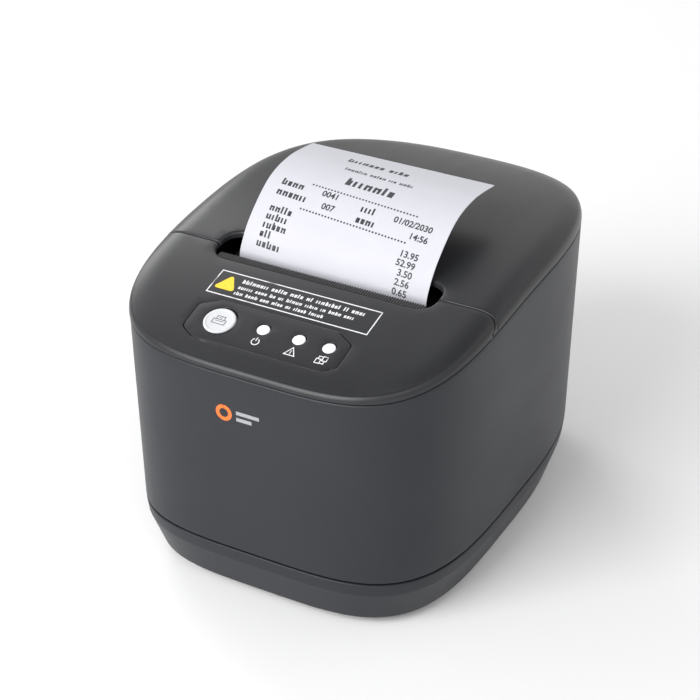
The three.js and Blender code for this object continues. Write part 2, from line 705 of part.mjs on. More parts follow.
function headHeatSink() {
  const front = HEAD.face - HEAD.ceramic - GAP;
  const across = [-HEAD.halfWidth, HEAD.halfWidth];
  const plate = box(across, [front - HEAD.plate, front], [HEAD.bottom, HEAD.top]);
  const reach = PLATE.x + PLATE.thickness + 0.6;
  return union([plate, rodX(HEAD.pin, -reach, reach, HEAD.pivotY, HEAD.pivotZ, 12)]);
}

function headCeramic() {
  const half = HEAD.halfWidth - 1;
  return box([-half, half], [HEAD.face - HEAD.ceramic, HEAD.face], [HEAD.ceramicBottom, HEAD.ceramicTop]);
}

// Sheet spring on the frame's bridge, with fingers that lean towards the head.
function headSpring() {
  const { rear, thickness, halfWidth, bottom, top, fingerXs } = SPRING;
  const { root, tipY, tipZ, edgeY, edgeZ } = FINGER;
  const plate = box([-halfWidth, halfWidth], [rear, rear + thickness], [bottom, top]);
  const finger = polygon([[rear, root], [rear + thickness, root], [tipY, tipZ], [edgeY, edgeZ]]);
  const fingers = fingerXs.map((x) => prismX(finger, x - FINGER.halfWidth, x + FINGER.halfWidth));
  return union([plate, ...fingers]);
}

function cutterBlade() {
  const { halfWidth, edge, rear, bottom, thickness, notch } = BLADE;
  const cuttingEdge = [[halfWidth, edge], [0, edge - notch], [-halfWidth, edge]];
  const plan = polygon([[-halfWidth, rear], [halfWidth, rear], ...cuttingEdge]);
  const plate = prismZ(plan, bottom, bottom + thickness);
  return union([plate, ...[-1, 1].map((side) => rack(side * CUTTER.pinionX))]);
}

// Rack under the blade, with a gap over the pinion's axis at rest.
function rack(x) {
  const pitch = Math.PI * MODULE;
  const back = BLADE.bottom + 0.2;
  const pitchZ = CUTTER.z + pitchRadius(CUTTER.teeth);
  const root = pitchZ + 1.25 * MODULE;
  const tip = pitchZ - 0.9 * MODULE;
  const points = [];
  for (let i = -3; i < 2; i += 1) {
    const middle = CUTTER.y + (i + 0.5) * pitch;
    points.push([middle - 0.29 * pitch, root], [middle - 0.12 * pitch, tip]);
    points.push([middle + 0.12 * pitch, tip], [middle + 0.29 * pitch, root]);
  }
  const ends = [CUTTER.y - 3.2 * pitch, CUTTER.y + 2.2 * pitch];
  const shape = polygon([[ends[0], back], [ends[0], root], ...points, [ends[1], root], [ends[1], back]]);
  return prismX(shape, x - FACE / 2 + 0.2, x + FACE / 2 - 0.2);
}

function cutterGuide() {
  const top = PLATE.top + GAP;
  const { front, rear, thickness, windowX, windowFront, windowRear } = CUTTER_GUIDE;
  const plate = box([-PLATE.x - 1, PLATE.x + 1], [front, rear], [top, top + thickness]);
  const window = box([-windowX, windowX], [windowFront, windowRear], [top - 1, top + thickness + 1]);
  return cut(plate, [window]);
}

function platenCarrier() {
  const { y, z } = PLATEN;
  const { cheekInner, cheekOuter, reach, drop, frontRise, rear, roofBottom, roofTop } = CARRIER;
  const { ledgeHalfWidth, ledgeBottom, ribXs, ribHalfWidth, ribTop, bearingHole } = CARRIER;
  const nose = [[rear, ledgeBottom + 0.3], [rear, roofTop], [y - 3, roofTop], [y - reach, z + frontRise]];
  const cheek = polygon([[y - reach, z - drop], [y + reach, z - drop], ...nose]);
  const cheeks = [prismX(cheek, -cheekOuter, -cheekInner), prismX(cheek, cheekInner, cheekOuter)];
  const roof = box([-cheekOuter, cheekOuter], [y - 3, rear], [roofBottom, roofTop]);
  const ledgeAcross = [-ledgeHalfWidth, ledgeHalfWidth];
  const ledge = box(ledgeAcross, [y - 2.5, y + 8], [ledgeBottom, roofBottom + 0.5]);
  const ribs = ribXs.map((x) =>
    box([x - ribHalfWidth, x + ribHalfWidth], [y, rear - 1], [roofTop - 1, ribTop]),
  );
  return cut(union([...cheeks, roof, ledge, ...ribs]), [rodX(bearingHole, -60, 60, y, z, 20)]);
}

function platenBearing() {
  return tubeX(BEARING.radius, PLATEN.shaft + GAP, 0, BEARING.length, 8);
}

function fixedBlade() {
  const { halfWidth, front, rear, bottom, top } = FIXED_BLADE;
  return box([-halfWidth, halfWidth], [front, rear], [bottom, top]);
}

// ---------------------------------------------------------------- lid and front cover

function lidShell(covers) {
  const lid = covers.intersect(behindLidEdge(0));
  const within = casingBlock(0, HINGE.z - HINGE.barrel - 1, 140).intersect(slab(() => 0, crownHeight));
  const barrel = hingeBarrel(HINGE.barrel, HINGE.halfWidth).intersect(within);
  return cut(union([lid, barrel]), [slotHole(), pinHole()]);
}

const PANEL_TILT = Math.atan(2 * CROWN.frontFall * (CROWN.y - PANEL.y));

// A solid drawn in the panel's tilted frame, moved to where the panel is.
function onPanel(geometry) {
  return geometry.rotateX(PANEL_TILT).translate(0, PANEL.y, crownHeight(PANEL.y));
}

function panelOutline(grow) {
  const across = [PANEL.left - grow, PANEL.right + grow];
  const along = [PANEL.y - PANEL.halfDepth - grow, PANEL.y + PANEL.halfDepth + grow];
  return roundedRectangle(across, along, PANEL.corner + grow);
}

function panelHoles(grow) {
  const button = onPanel(rodZ(BUTTON.radius + grow, -20, 20, BUTTON.x, 0, 24));
  const lenses = LENS.xs.map((x) => onPanel(rodZ(LENS.radius + grow, -20, 20, x, LENS.v, 12)));
  return [button, ...lenses];
}

function controlPanel() {
  const plate = solid(extruded(panelOutline(0), 60, 4).translate(0, 0, 80));
  const skin = slab((y) => crownHeight(y) - PANEL.thickness, crownHeight);
  return cut(plate.intersect(skin), panelHoles(GAP));
}

function frontCover(covers) {
  const bed = solid(extruded(panelOutline(GAP), 60, 4).translate(0, 0, 80));
  const recess = bed.intersect(slab((y) => crownHeight(y) - PANEL.bed, () => 150));
  return cut(covers, [behindLidEdge(SEAM), slotHole(), recess, ...panelHoles(GAP)]);
}

function feedButton() {
  const under = -WALL - 0.5;
  const { radius, flange, rim, proud } = BUTTON;
  const cap = [[radius, under], [radius, 0], [radius - 0.5, proud], [0, proud]];
  return turned([[0, under - rim], [flange, under - rim], [flange, under], ...cap], 20);
}

function lens() {
  return rodZ(LENS.radius, -LENS.depth, 0.1);
}

function panelBoard() {
  const { x, halfWidth, halfDepth, depth, thickness } = PANEL_BOARD;
  return box([x - halfWidth, x + halfWidth], [-halfDepth, halfDepth], [-depth - thickness, -depth]);
}

function tactSwitch() {
  const { half, bottom, top, plunger, plungerTop } = TACT;
  const base = box([-half, half], [-half, half], [bottom, top]);
  return union([base, rodZ(plunger, top - 0.1, plungerTop)]);
}

// Serrated bar along the front of the slot, drawn flat with its teeth pointing to the rear.
function tearBar() {
  const { halfWidth, front, root, tip, teeth } = TEAR_BAR;
  const pitch = (2 * halfWidth) / teeth;
  const points = [[halfWidth, front], [halfWidth, root]];
  for (let i = 0; i < teeth; i += 1) {
    const x = halfWidth - i * pitch;
    points.push([x - pitch / 2, tip], [x - pitch, root]);
  }
  points.push([-halfWidth, front]);
  return prismZ(polygon(points), -1, 0);
}

// ---------------------------------------------------------------- assembly

function placed(mesh, x, y, z) {
  mesh.position.set(x, y, z);
  return mesh;
}

function buildBase() {
  const group = new THREE.Group();
  group.add(piece("base_tray", baseTray(), "casing"));
  FEET.forEach(({ name, x, y }) => group.add(placed(piece(name, foot(), "rubber"), x, y, 0)));
  SCREWS.forEach(({ name, x, y }) => group.add(placed(piece(name, baseScrew(), "steel"), x, y, 0)));
  group.add(piece("main_board", mainBoard(), "board"));
  const buzzer = piece("buzzer", rodZ(BUZZER.radius, 0, BUZZER.height, 0, 0, 20), "black");
  group.add(placed(buzzer, BUZZER.x, BUZZER.y, BOARD.bottom + BOARD.thickness + GAP));
  return group;
}

function buildRear() {
  const group = new THREE.Group();
  group.add(piece("io_plate", ioPlate(), "steel"));
  SOCKETS.forEach((item) => {
    group.add(placed(piece(item.name, socket(item), item.material), item.x, 0, SOCKET.z));
  });
  const housing = piece("switch_housing", switchHousing(), "black");
  group.add(placed(housing, SWITCH.x, IO.y + 1.2, SWITCH.z));
  const lever = placed(piece("power_rocker", rocker(), "black"), SWITCH.x, IO.y + 1.2, SWITCH.z);
  lever.rotation.z = SWITCH.rest;
  group.add(lever);
  return group;
}

function buildPaper() {
  const group = new THREE.Group();
  group.add(piece("paper_well", paperWell(), "black"));
  group.add(placed(piece("paper_roll", paperRoll(), "paper"), 0, ROLL.y, ROLL.z));
  const core = tubeX(ROLL.core, ROLL.coreBore, -ROLL.halfWidth, ROLL.halfWidth, 8);
  group.add(placed(piece("paper_core", core, "card"), 0, ROLL.y, ROLL.z));
  group.add(piece("paper_web", paperWeb(), "paper"));
  const { halfWidth, halfDepth, halfHeight, tilt, x, y, z } = SENSOR;
  const block = box([-halfWidth, halfWidth], [-halfDepth, halfDepth], [-halfHeight, halfHeight]);
  group.add(placed(piece("paper_sensor", block.rotateX(tilt), "black"), x, y, z));
  return group;
}

function buildFeed() {
  const group = new THREE.Group();
  const gearEnds = [GEAR_X, GEAR_X + FACE];
  const can = piece("feed_motor", motor(FEED_MOTOR).rotateZ(-Math.PI / 2), "steel");
  group.add(placed(can, PLATE.x - GAP - FEED_MOTOR.length, FEED_MOTOR.y, FEED_MOTOR.z));
  const motorPhase = MOTOR_ANGLE - Math.PI;
  const shaftEnds = [PLATE.x + 0.4, GEAR_X + FACE + 1];
  const pinion = gearOnShaft(MOTOR_TEETH, motorPhase, gearEnds, MOTOR_SHAFT, shaftEnds);
  group.add(placed(piece("feed_motor_pinion", pinion, "brass"), 0, FEED_MOTOR.y, FEED_MOTOR.z));
  const idlerPhase = Math.PI / 2 + Math.PI / IDLER.teeth;
  const idler = gear(IDLER.teeth, IDLER.pin + GAP, idlerPhase, ...gearEnds);
  group.add(placed(piece("idler_gear", idler, "gear"), 0, PLATEN.y, IDLER.z));
  const axle = rodX(IDLER.pin, PLATE.x + 0.1, GEAR_X + FACE + 1, PLATEN.y, IDLER.z, 12);
  group.add(piece("idler_axle", axle, "steel"));
  group.add(piece("print_head_heat_sink", headHeatSink(), "steel"));
  group.add(piece("print_head_ceramic", headCeramic(), "ceramic"));
  group.add(piece("head_spring", headSpring(), "steel"));
  return group;
}

function buildCutter() {
  const group = new THREE.Group();
  const can = piece("cutter_motor", motor(CUTTER_MOTOR).rotateZ(Math.PI / 2), "steel");
  group.add(placed(can, CUTTER_MOTOR.length + GAP - PLATE.x, CUTTER_MOTOR.y, CUTTER_MOTOR.z));
  const face = [-GEAR_X - FACE, -GEAR_X];
  const shaftEnds = [-GEAR_X - FACE - 1, -PLATE.x - 0.4];
  const small = gearOnShaft(MOTOR_TEETH, MOTOR_ANGLE - Math.PI, face, MOTOR_SHAFT, shaftEnds);
  group.add(placed(piece("cutter_motor_pinion", small, "brass"), 0, CUTTER_MOTOR.y, CUTTER_MOTOR.z));
  const wheelPhase = MOTOR_ANGLE + Math.PI / CUTTER.wheelTeeth;
  const wheel = gear(CUTTER.wheelTeeth, CUTTER.shaft + GAP, wheelPhase, ...face);
  group.add(placed(piece("cutter_wheel", wheel, "gear"), 0, CUTTER.y, CUTTER.z));
  const shaft = rodX(CUTTER.shaft, -GEAR_X - FACE - 1, PLATE.x + 2, 0, 0, 16);
  group.add(placed(piece("cutter_shaft", shaft, "steel"), 0, CUTTER.y, CUTTER.z));
  [["cutter_pinion_left", -1], ["cutter_pinion_right", 1]].forEach(([name, side]) => {
    const pinion = gear(CUTTER.teeth, CUTTER.shaft + GAP, Math.PI / 2, -FACE / 2, FACE / 2);
    group.add(placed(piece(name, pinion, "gear"), side * CUTTER.pinionX, CUTTER.y, CUTTER.z));
  });
  group.add(piece("cutter_blade", cutterBlade(), "steel"));
  group.add(piece("cutter_guide", cutterGuide(), "steel"));
  return group;
}

function buildFrontCover(covers) {
  const group = new THREE.Group();
  group.add(piece("front_cover", frontCover(covers), "cover"));
  group.add(piece("control_panel", controlPanel(), "panel"));
  const bar = placed(piece("tear_bar", tearBar(), "black"), 0, TEAR_BAR.y, TEAR_BAR.z);
  bar.rotation.x = TEAR_BAR.tilt;
  group.add(bar);
  const panel = new THREE.Group();
  panel.position.set(0, PANEL.y, crownHeight(PANEL.y));
  panel.rotation.x = PANEL_TILT;
  panel.add(placed(piece("feed_button", feedButton(), "white"), BUTTON.x, 0, 0));
  ["power_light", "error_light", "paper_light"].forEach((name, i) => {
    panel.add(placed(piece(name, lens(), "white"), LENS.xs[i], LENS.v, 0));
  });
  panel.add(piece("panel_board", panelBoard(), "board"));
  panel.add(placed(piece("tact_switch", tactSwitch(), "black"), BUTTON.x, 0, -PANEL_BOARD.depth));
  group.add(panel);
  return group;
}

function buildLid(covers) {
  const group = new THREE.Group();
  group.add(piece("lid_shell", lidShell(covers), "cover"));
  group.add(piece("platen_carrier", platenCarrier(), "black"));
  group.add(piece("fixed_blade", fixedBlade(), "steel"));
  const bearings = [["platen_bearing_left", BEARING.left], ["platen_bearing_right", BEARING.right]];
  bearings.forEach(([name, x]) => {
    group.add(placed(piece(name, platenBearing(), "gear"), x, PLATEN.y, PLATEN.z));
  });
  [["hinge_pin_left", -1], ["hinge_pin_right", 1]].forEach(([name, side]) => {
    const ends = [side * HINGE.pinStart, side * (HINGE_EAR.end - GAP)].sort((a, b) => a - b);
    group.add(placed(piece(name, rodX(HINGE.pin, ...ends), "steel"), 0, HINGE.y, HINGE.z));
  });
  group.add(piece("receipt_strip", receiptStrip(), "paper"));
  return group;
}

function buildPlaten() {
  const group = new THREE.Group();
  group.position.set(0, PLATEN.y, PLATEN.z);
  const shaft = rodX(PLATEN.shaft, -PLATE.x - 3, GEAR_X + FACE + 1, 0, 0, 16);
  group.add(piece("platen_shaft", shaft, "steel"));
  const bore = PLATEN.shaft + GAP;
  const rubber = tubeX(PLATEN.radius, bore, -PLATEN.halfWidth, PLATEN.halfWidth, 12);
  group.add(piece("platen_rubber", rubber, "rubber"));
  const toothDown = -Math.PI / 2;
  group.add(piece("platen_gear", gear(PLATEN.teeth, bore, toothDown, GEAR_X, GEAR_X + FACE), "gear"));
  return group;
}

const covers = coverBlock(0).subtract(coverBlock(WALL));
const printer = new THREE.Group();
printer.add(buildBase());
printer.add(piece("main_casing", mainCasing(), "casing"));
printer.add(buildRear());
printer.add(buildPaper());
printer.add(piece("mechanism_frame", mechanismFrame(), "steel"));
printer.add(buildFeed());
printer.add(buildCutter());
printer.add(buildFrontCover(covers));
printer.add(buildLid(covers));
printer.add(buildPlaten());

export default printer;
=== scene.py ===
import json
import math

import bmesh
import bpy
import numpy as np
from mathutils import Matrix, Vector, geometry


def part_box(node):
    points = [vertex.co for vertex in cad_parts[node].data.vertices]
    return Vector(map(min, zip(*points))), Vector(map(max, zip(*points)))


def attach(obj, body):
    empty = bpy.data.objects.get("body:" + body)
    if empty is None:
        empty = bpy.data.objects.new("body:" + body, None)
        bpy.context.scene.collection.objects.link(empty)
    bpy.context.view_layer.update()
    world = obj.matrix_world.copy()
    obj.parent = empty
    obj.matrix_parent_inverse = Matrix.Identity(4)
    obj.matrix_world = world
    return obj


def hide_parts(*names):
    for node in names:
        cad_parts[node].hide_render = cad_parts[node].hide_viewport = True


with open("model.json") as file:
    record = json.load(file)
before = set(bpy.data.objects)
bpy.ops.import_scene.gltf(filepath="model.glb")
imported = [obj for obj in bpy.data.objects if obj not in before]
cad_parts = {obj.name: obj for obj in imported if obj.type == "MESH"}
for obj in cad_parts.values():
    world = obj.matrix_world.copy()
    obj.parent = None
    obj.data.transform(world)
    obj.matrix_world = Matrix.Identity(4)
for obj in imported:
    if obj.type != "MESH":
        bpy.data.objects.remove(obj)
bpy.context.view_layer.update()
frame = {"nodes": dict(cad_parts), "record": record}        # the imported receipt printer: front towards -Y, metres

MM = 0.001


def low(node, axis):
    """Low end of a CAD node on an axis, 0 to 2 for x to z."""
    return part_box(node)[0][axis]


def high(node, axis):
    """High end of a CAD node on an axis."""
    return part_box(node)[1][axis]


def middle(node, axis):
    """Middle of a CAD node on an axis."""
    return (low(node, axis) + high(node, axis)) / 2


# ---------------- driving sizes, in metres

HALF_WIDTH = 71 * MM
FRONT_DEPTH = 88.7 * MM
REAR_DEPTH = 100 * MM
FRONT_POWER = 3.9
REAR_POWER = 2.7
MIDDLE_Y = (FRONT_DEPTH - REAR_DEPTH) / 2
WALL = 2.4 * MM
SEAM = 0.6 * MM

BASE_TOP = high("base_tray", 2)
CASING_BOTTOM = low("main_casing", 2)
JOINT_MIDDLE = 115 * MM
JOINT_SLOPE = 0.0435
JOINT_SAG = 0.0012 / MM
CROWN_TOP = high("lid_shell", 2)
CROWN_Y = 16.35 * MM
CROWN_FRONT_FALL = 0.00157 / MM
CROWN_REAR_FALL = 0.00203 / MM
RIM_HEIGHT = 2.9 * MM
RIM_INSET = 1.5 * MM
SHOULDER = 10 * MM
SHOULDER_POWER = 2.6
CASING_TAPER = 1.55 * MM / (JOINT_MIDDLE - BASE_TOP)

LID_EDGE_Y = -36.7 * MM
LID_SIDE_Y = -41.1 * MM
LID_CORNER_X = 66.2 * MM
LID_SIDE_X = 70.2 * MM
SLOT_HALF = 46.3 * MM
SLOT_FRONT = -44.7 * MM
SLOT_REAR = -27.9 * MM
SLOT_CORNER = 6.8 * MM
SLOT_LIP = 1.1 * MM
SEAM_LIP = 0.5 * MM
PANEL_LIP = 0.3 * MM
# Reach of the painted highlight from the cut edges and from the rim's top edge.
HIGHLIGHT_REACH = 1.2 * MM
OUTLINE_POINTS = 300
LIP_SHARES = (0.03, 0.12, 0.27, 0.48, 0.74, 1.0)

HINGE_Y = 91 * MM
HINGE_Z = 101 * MM
HINGE_HALF = 20 * MM
BARREL = 3.3 * MM
BARREL_ROOM = 3.8 * MM
HINGE_BLOCK_TOP = 108.6 * MM
EAR_START = 20.6 * MM
EAR_END = 23.6 * MM
EAR_Y = (86.5 * MM, 92.6 * MM)
EAR_Z = (96 * MM, 104.5 * MM)

PANEL_LEFT = low("control_panel", 0)
PANEL_RIGHT = high("control_panel", 0)
PANEL_FRONT = low("control_panel", 1)
PANEL_REAR = high("control_panel", 1)
PANEL_Y = (PANEL_FRONT + PANEL_REAR) / 2
PANEL_GAP = 0.22 * MM
PANEL_DROP = 0.05 * MM
PANEL_DEPTH = 1.2 * MM
PANEL_BEND = 1.6 * MM
BED_DROP = 1.5 * MM
BED_LAP = 0.8 * MM
BED_HOLE_GAP = 0.5 * MM
COVER_SPACING = 4 * MM
BUTTON_X = middle("feed_button", 0)
BUTTON_RADIUS = 6.2 * MM
BUTTON_PROUD = 0.55 * MM
DISH_HEIGHT = 0.33 * MM
LIGHTS = ("power_light", "error_light", "paper_light")
LIGHT_RADIUS = 2.45 * MM
LIGHT_UP = 1.5 * MM

OPENING_CORNER = 1.2 * MM
BAY_HALF = 40 * MM
BAY_TOP = 33.6 * MM
BAY_BOTTOM = 6.5 * MM

# ---------------- surfaces


def powers(y):
    """Depth and power of the outline's front or rear half, for y from its middle."""
    return np.where(y < 0, FRONT_DEPTH, REAR_DEPTH), np.where(y < 0, FRONT_POWER, REAR_POWER)


def outline(count):
    """Points of the plan outline at even spacing, anticlockwise from the middle of the front."""
    angle = np.linspace(-np.pi / 2, 1.5 * np.pi, 6001)
    depth, power = powers(np.sin(angle))
    x = HALF_WIDTH * np.sign(np.cos(angle)) * np.abs(np.cos(angle)) ** (2 / power)
    y = depth * np.sign(np.sin(angle)) * np.abs(np.sin(angle)) ** (2 / power) + MIDDLE_Y
    along = np.concatenate([[0], np.cumsum(np.hypot(np.diff(x), np.diff(y)))])
    at = np.linspace(0, along[-1], count, endpoint=False)
    return np.stack([np.interp(at, along, x), np.interp(at, along, y)], 1), along[-1]


def outline_x(y):
    """Half width of the outline at a y."""
    v = y - MIDDLE_Y
    depth, power = powers(v)
    return float(HALF_WIDTH * (1 - (abs(v) / depth) ** power) ** (1 / power))


def outline_depth(points):
    """Distance of plan points inside the outline, close to it."""
    x, v = np.abs(points[:, 0]) + 1e-9, points[:, 1] - MIDDLE_Y
    depth, power = powers(v)
    v = np.abs(v) + 1e-9
    total = (x / HALF_WIDTH) ** power + (v / depth) ** power
    gauge = total ** (1 / power)
    slope_x = gauge ** (1 - power) * (x / HALF_WIDTH) ** (power - 1) / HALF_WIDTH
    slope_y = gauge ** (1 - power) * (v / depth) ** (power - 1) / depth
    return (1 - gauge) / np.hypot(slope_x, slope_y)


def joint_height(y):
    """Height of the seam between the top covers and the casing."""
    v = y - MIDDLE_Y
    return JOINT_MIDDLE + JOINT_SLOPE * v - JOINT_SAG * v * v


def crown_height(y):
    """Height of the top covers' middle part."""
    v = y - CROWN_Y
    return CROWN_TOP - np.where(v < 0, CROWN_FRONT_FALL, CROWN_REAR_FALL) * v * v


def cover_height(points):
    """Height of the top covers: an upright rim, a rounded shoulder and the crown."""
    inset = np.clip(outline_depth(points), 0, None)
    foot = joint_height(points[:, 1]) + SEAM / 2
    room = crown_height(points[:, 1]) - foot
    rim = np.minimum(RIM_HEIGHT, room)
    rise = np.sqrt(np.clip(1 - (1 - np.minimum(inset / RIM_INSET, 1)) ** 2, 0, 1))
    shoulder = 1 - (1 - np.minimum(inset / SHOULDER, 1)) ** SHOULDER_POWER
    return foot + rim * rise + (room - rim) * shoulder


def under_crown(depth):
    """Places a face at a depth below the crown."""

    def place(points, drop=0.0):
        return np.column_stack([points, crown_height(points[:, 1]) - depth - drop])

    return place


def at_level(z):
    """Places a level face."""

    def place(points, drop=0.0):
        return np.column_stack([points, np.full(len(points), z) + drop])

    return place


# ---------------- meshes


def make_object(name, verts, faces, material, sharp=35):
    """A smooth-shaded object with sharp edges past an angle, its faces turned outwards."""
    mesh = bpy.data.meshes.new(name)
    mesh.from_pydata([tuple(v) for v in verts], [], [tuple(f) for f in faces])
    build = bmesh.new()
    build.from_mesh(mesh)
    bmesh.ops.remove_doubles(build, verts=build.verts, dist=1e-7)
    bmesh.ops.recalc_face_normals(build, faces=build.faces)
    build.to_mesh(mesh)
    build.free()
    mesh.shade_smooth()
    mesh.set_sharp_from_angle(angle=math.radians(sharp))
    made = bpy.data.objects.new(name, mesh)
    bpy.context.scene.collection.objects.link(made)
    mesh.materials.append(material)
    return made


def piece(name, shell, finish, body, slot, *nodes, sharp=35):
    """A detailed piece that rides on a body and stands for CAD nodes. slot is not used."""
    made = make_object(name, *shell, finish, sharp)
    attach(made, body)
    if nodes:
        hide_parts(*nodes)
    return made


def inside(points, loops):
    """Even-odd test of points against closed loops."""
    odd = np.zeros(len(points), bool)
    for loop in loops:
        a, b = loop, np.roll(loop, -1, 0)
        for (x0, y0), (x1, y1) in zip(a, b):
            if y0 == y1:
                continue
            crosses = (points[:, 1] < y0) != (points[:, 1] < y1)
            at = x0 + (points[:, 1] - y0) * (x1 - x0) / (y1 - y0)
            odd ^= crosses & (points[:, 0] < at)
    return odd


def distance_to(points, segments):
    """Distance of points to the nearest of some segments."""
    best = np.full(len(points), 1.0)
    for a, b in segments:
        d = b - a
        t = np.clip(((points - a) @ d) / max(d @ d, 1e-18), 0, 1)
        best = np.minimum(best, np.linalg.norm(points - a - t[:, None] * d, axis=1))
    return best


def triangles(loops, extra):
    """Delaunay triangles of the region between loops, with extra points inside it."""
    coords, edges, first = [], [], 0
    for loop in loops:
        n = len(loop)
        coords += [tuple(p) for p in loop]
        edges += [(first + i, first + (i + 1) % n) for i in range(n)]
        first += n
    coords += [tuple(p) for p in extra]
    scale = 1000.0
    flat = [Vector((x * scale, y * scale)) for x, y in coords]
    verts, _, faces, origin, _, _ = geometry.delaunay_2d_cdt(flat, edges, [], 0, 1e-5)
    points = np.array([tuple(v) for v in verts]) / scale
    faces = [f for f in faces if len(f) == 3]
    centres = points[np.array(faces)].mean(1)
    keep = inside(centres, loops)
    faces = [f for f, k in zip(faces, keep) if k]
    place = {}
    for i, sources in enumerate(origin):
        for source in sources:
            place[source] = i
    return points, faces, [place[i] for i in range(first)]


def lip_rings(loops, lips):
    """Rows of points beside the rounded edges, closer together towards the edge."""
    rings = []
    for loop, marks in zip(loops, lips):
        along = np.roll(loop, -1, 0) - np.roll(loop, 1, 0)
        normal = np.stack([-along[:, 1], along[:, 0]], 1)
        normal /= np.maximum(np.linalg.norm(normal, axis=1), 1e-12)[:, None]
        normal[~inside(loop + normal * 2e-5, loops)] *= -1
        radius = np.maximum(marks, np.roll(marks, 1))
        segments = edge_segments(loops, lips)
        for share in LIP_SHARES:
            near = radius > 0
            ring = (loop + normal * (radius * share)[:, None])[near]
            if len(ring):
                rings.append(ring[distance_to(ring, segments) > 0.93 * radius[near] * share])
    return rings


def edge_segments(loops, lips, radius=None):
    """The loops' segments that have a rounded edge, or only those with one radius."""
    return [
        (loop[i], loop[(i + 1) % len(loop)])
        for loop, marks in zip(loops, lips)
        for i in range(len(loop))
        if marks[i] > 0 and (radius is None or marks[i] == radius)
    ]


def plate(loops, lips, top, bottom, spacing, extra=None):
    """Vertices and faces of a closed shell over a plan region.

    loops are closed point lists, outer first. lips holds the radius that rounds the top along
    each segment of each loop, or 0. top(points, drop) and bottom(points) give places. extra are
    points that the top needs inside the region.
    """
    every = [(loop[i], loop[(i + 1) % len(loop)]) for loop in loops for i in range(len(loop))]
    widest = max(float(marks.max()) for marks in lips)
    x0, y0 = loops[0].min(0)
    x1, y1 = loops[0].max(0)
    grid = np.stack(
        np.meshgrid(
            np.linspace(x0, x1, max(2, round((x1 - x0) / spacing) + 1)),
            np.linspace(y0, y1, max(2, round((y1 - y0) / spacing) + 1)),
        ),
        -1,
    ).reshape(-1, 2)
    grid = grid[inside(grid, loops)]
    grid = grid[distance_to(grid, every) > max(0.45 * spacing, 1.5 * widest)]
    added = [grid, *lip_rings(loops, lips)]
    if extra is not None:
        cuts = edge_segments(loops, lips)
        extra = extra[inside(extra, loops)]
        extra = extra[distance_to(extra, every) > 0.02 * MM]
        if cuts:
            extra = extra[distance_to(extra, cuts) > 1.05 * widest]
        added[0] = grid[distance_to(grid, [(p, p) for p in extra[::3]]) > 0.5 * spacing]
        added.append(extra)
    points, faces, rim = triangles(loops, np.concatenate(added))
    drop = np.zeros(len(points))
    for radius in sorted({float(r) for marks in lips for r in marks if r > 0}):
        gone = np.clip(radius - distance_to(points, edge_segments(loops, lips, radius)), 0, radius)
        drop = np.maximum(drop, radius - np.sqrt(radius * radius - gone * gone))
    upper = top(points, drop)
    under, under_faces, under_rim = triangles(loops, grid[::3] if len(grid) > 3000 else grid)
    first = len(upper)
    verts = np.concatenate([upper, bottom(under)])
    faces = list(faces) + [tuple(first + i for i in f) for f in under_faces]
    start = 0
    for loop in loops:
        n = len(loop)
        for i in range(n):
            a, b = start + i, start + (i + 1) % n
            faces.append((rim[a], rim[b], first + under_rim[b], first + under_rim[a]))
        start += n
    return verts, faces


def merged(*shells):
    """Several (vertices, faces) shells as one."""
    verts, faces, first = [], [], 0
    for v, f in shells:
        verts.append(np.asarray(v))
        faces += [tuple(first + i for i in face) for face in f]
        first += len(v)
    return np.concatenate(verts), faces


def arc(centre, radius, start, end, steps):
    """Points of an arc, angles in degrees, both ends included."""
    angle = np.radians(np.linspace(start, end, steps + 1))
    return np.stack([centre[0] + radius * np.cos(angle), centre[1] + radius * np.sin(angle)], 1)


def line(a, b, spacing):
    """Points from a to b, without b."""
    a, b = np.array(a, float), np.array(b, float)
    steps = max(1, round(float(np.linalg.norm(b - a)) / spacing))
    return a + (b - a) * (np.arange(steps) / steps)[:, None]


def solid_box(x, y, z):
    """A box from its low and high places on each axis."""
    verts = [(x[i], y[j], z[k]) for i in (0, 1) for j in (0, 1) for k in (0, 1)]
    faces = [(0, 1, 3, 2), (4, 6, 7, 5), (0, 4, 5, 1), (2, 3, 7, 6), (0, 2, 6, 4), (1, 5, 7, 3)]
    return np.array(verts), faces


def turned(profile, steps, place):
    """A body of revolution from (radius, height) pairs that start and end on the axis."""
    verts, faces, rows = [], [], []
    for radius, height in profile:
        if radius < 1e-9:
            rows.append([len(verts)])
            verts.append((0, 0, height))
            continue
        rows.append(list(range(len(verts), len(verts) + steps)))
        angles = [2 * math.pi * i / steps for i in range(steps)]
        verts += [(radius * math.cos(a), radius * math.sin(a), height) for a in angles]
    for one, two in zip(rows, rows[1:]):
        for i in range(steps):
            j = (i + 1) % steps
            face = [one[i % len(one)], one[j % len(one)], two[j % len(two)], two[i % len(two)]]
            face = list(dict.fromkeys(face))
            if len(face) > 2:
                faces.append(tuple(face))
    return np.array([place @ Vector(v) for v in verts]), faces


def rounded_profile(corners, steps):
    """A (radius, height) line whose inner corners, given with a third value, are rounded."""
    out = [corners[0][:2]]
    for before, here, after in zip(corners, corners[1:], corners[2:]):
        radius = here[2] if len(here) > 2 else 0
        if radius == 0:
            out.append(here[:2])
            continue
        p, a, b = (np.array(q[:2], float) for q in (here, before, after))
        u = (a - p) / np.linalg.norm(a - p)
        w = (b - p) / np.linalg.norm(b - p)
        half = math.acos(float(np.clip(u @ w, -1, 1))) / 2
        cutback = radius / math.tan(half)
        centre = p + (u + w) / np.linalg.norm(u + w) * radius / math.sin(half)
        first, last = p + u * cutback - centre, p + w * cutback - centre
        for i in range(steps + 1):
            t = i / steps
            turn = math.pi - 2 * half
            mix = (math.sin((1 - t) * turn) * first + math.sin(t * turn) * last) / math.sin(turn)
            out.append(tuple(centre + mix))
    out.append(corners[-1][:2])
    return out


# ---------------- materials


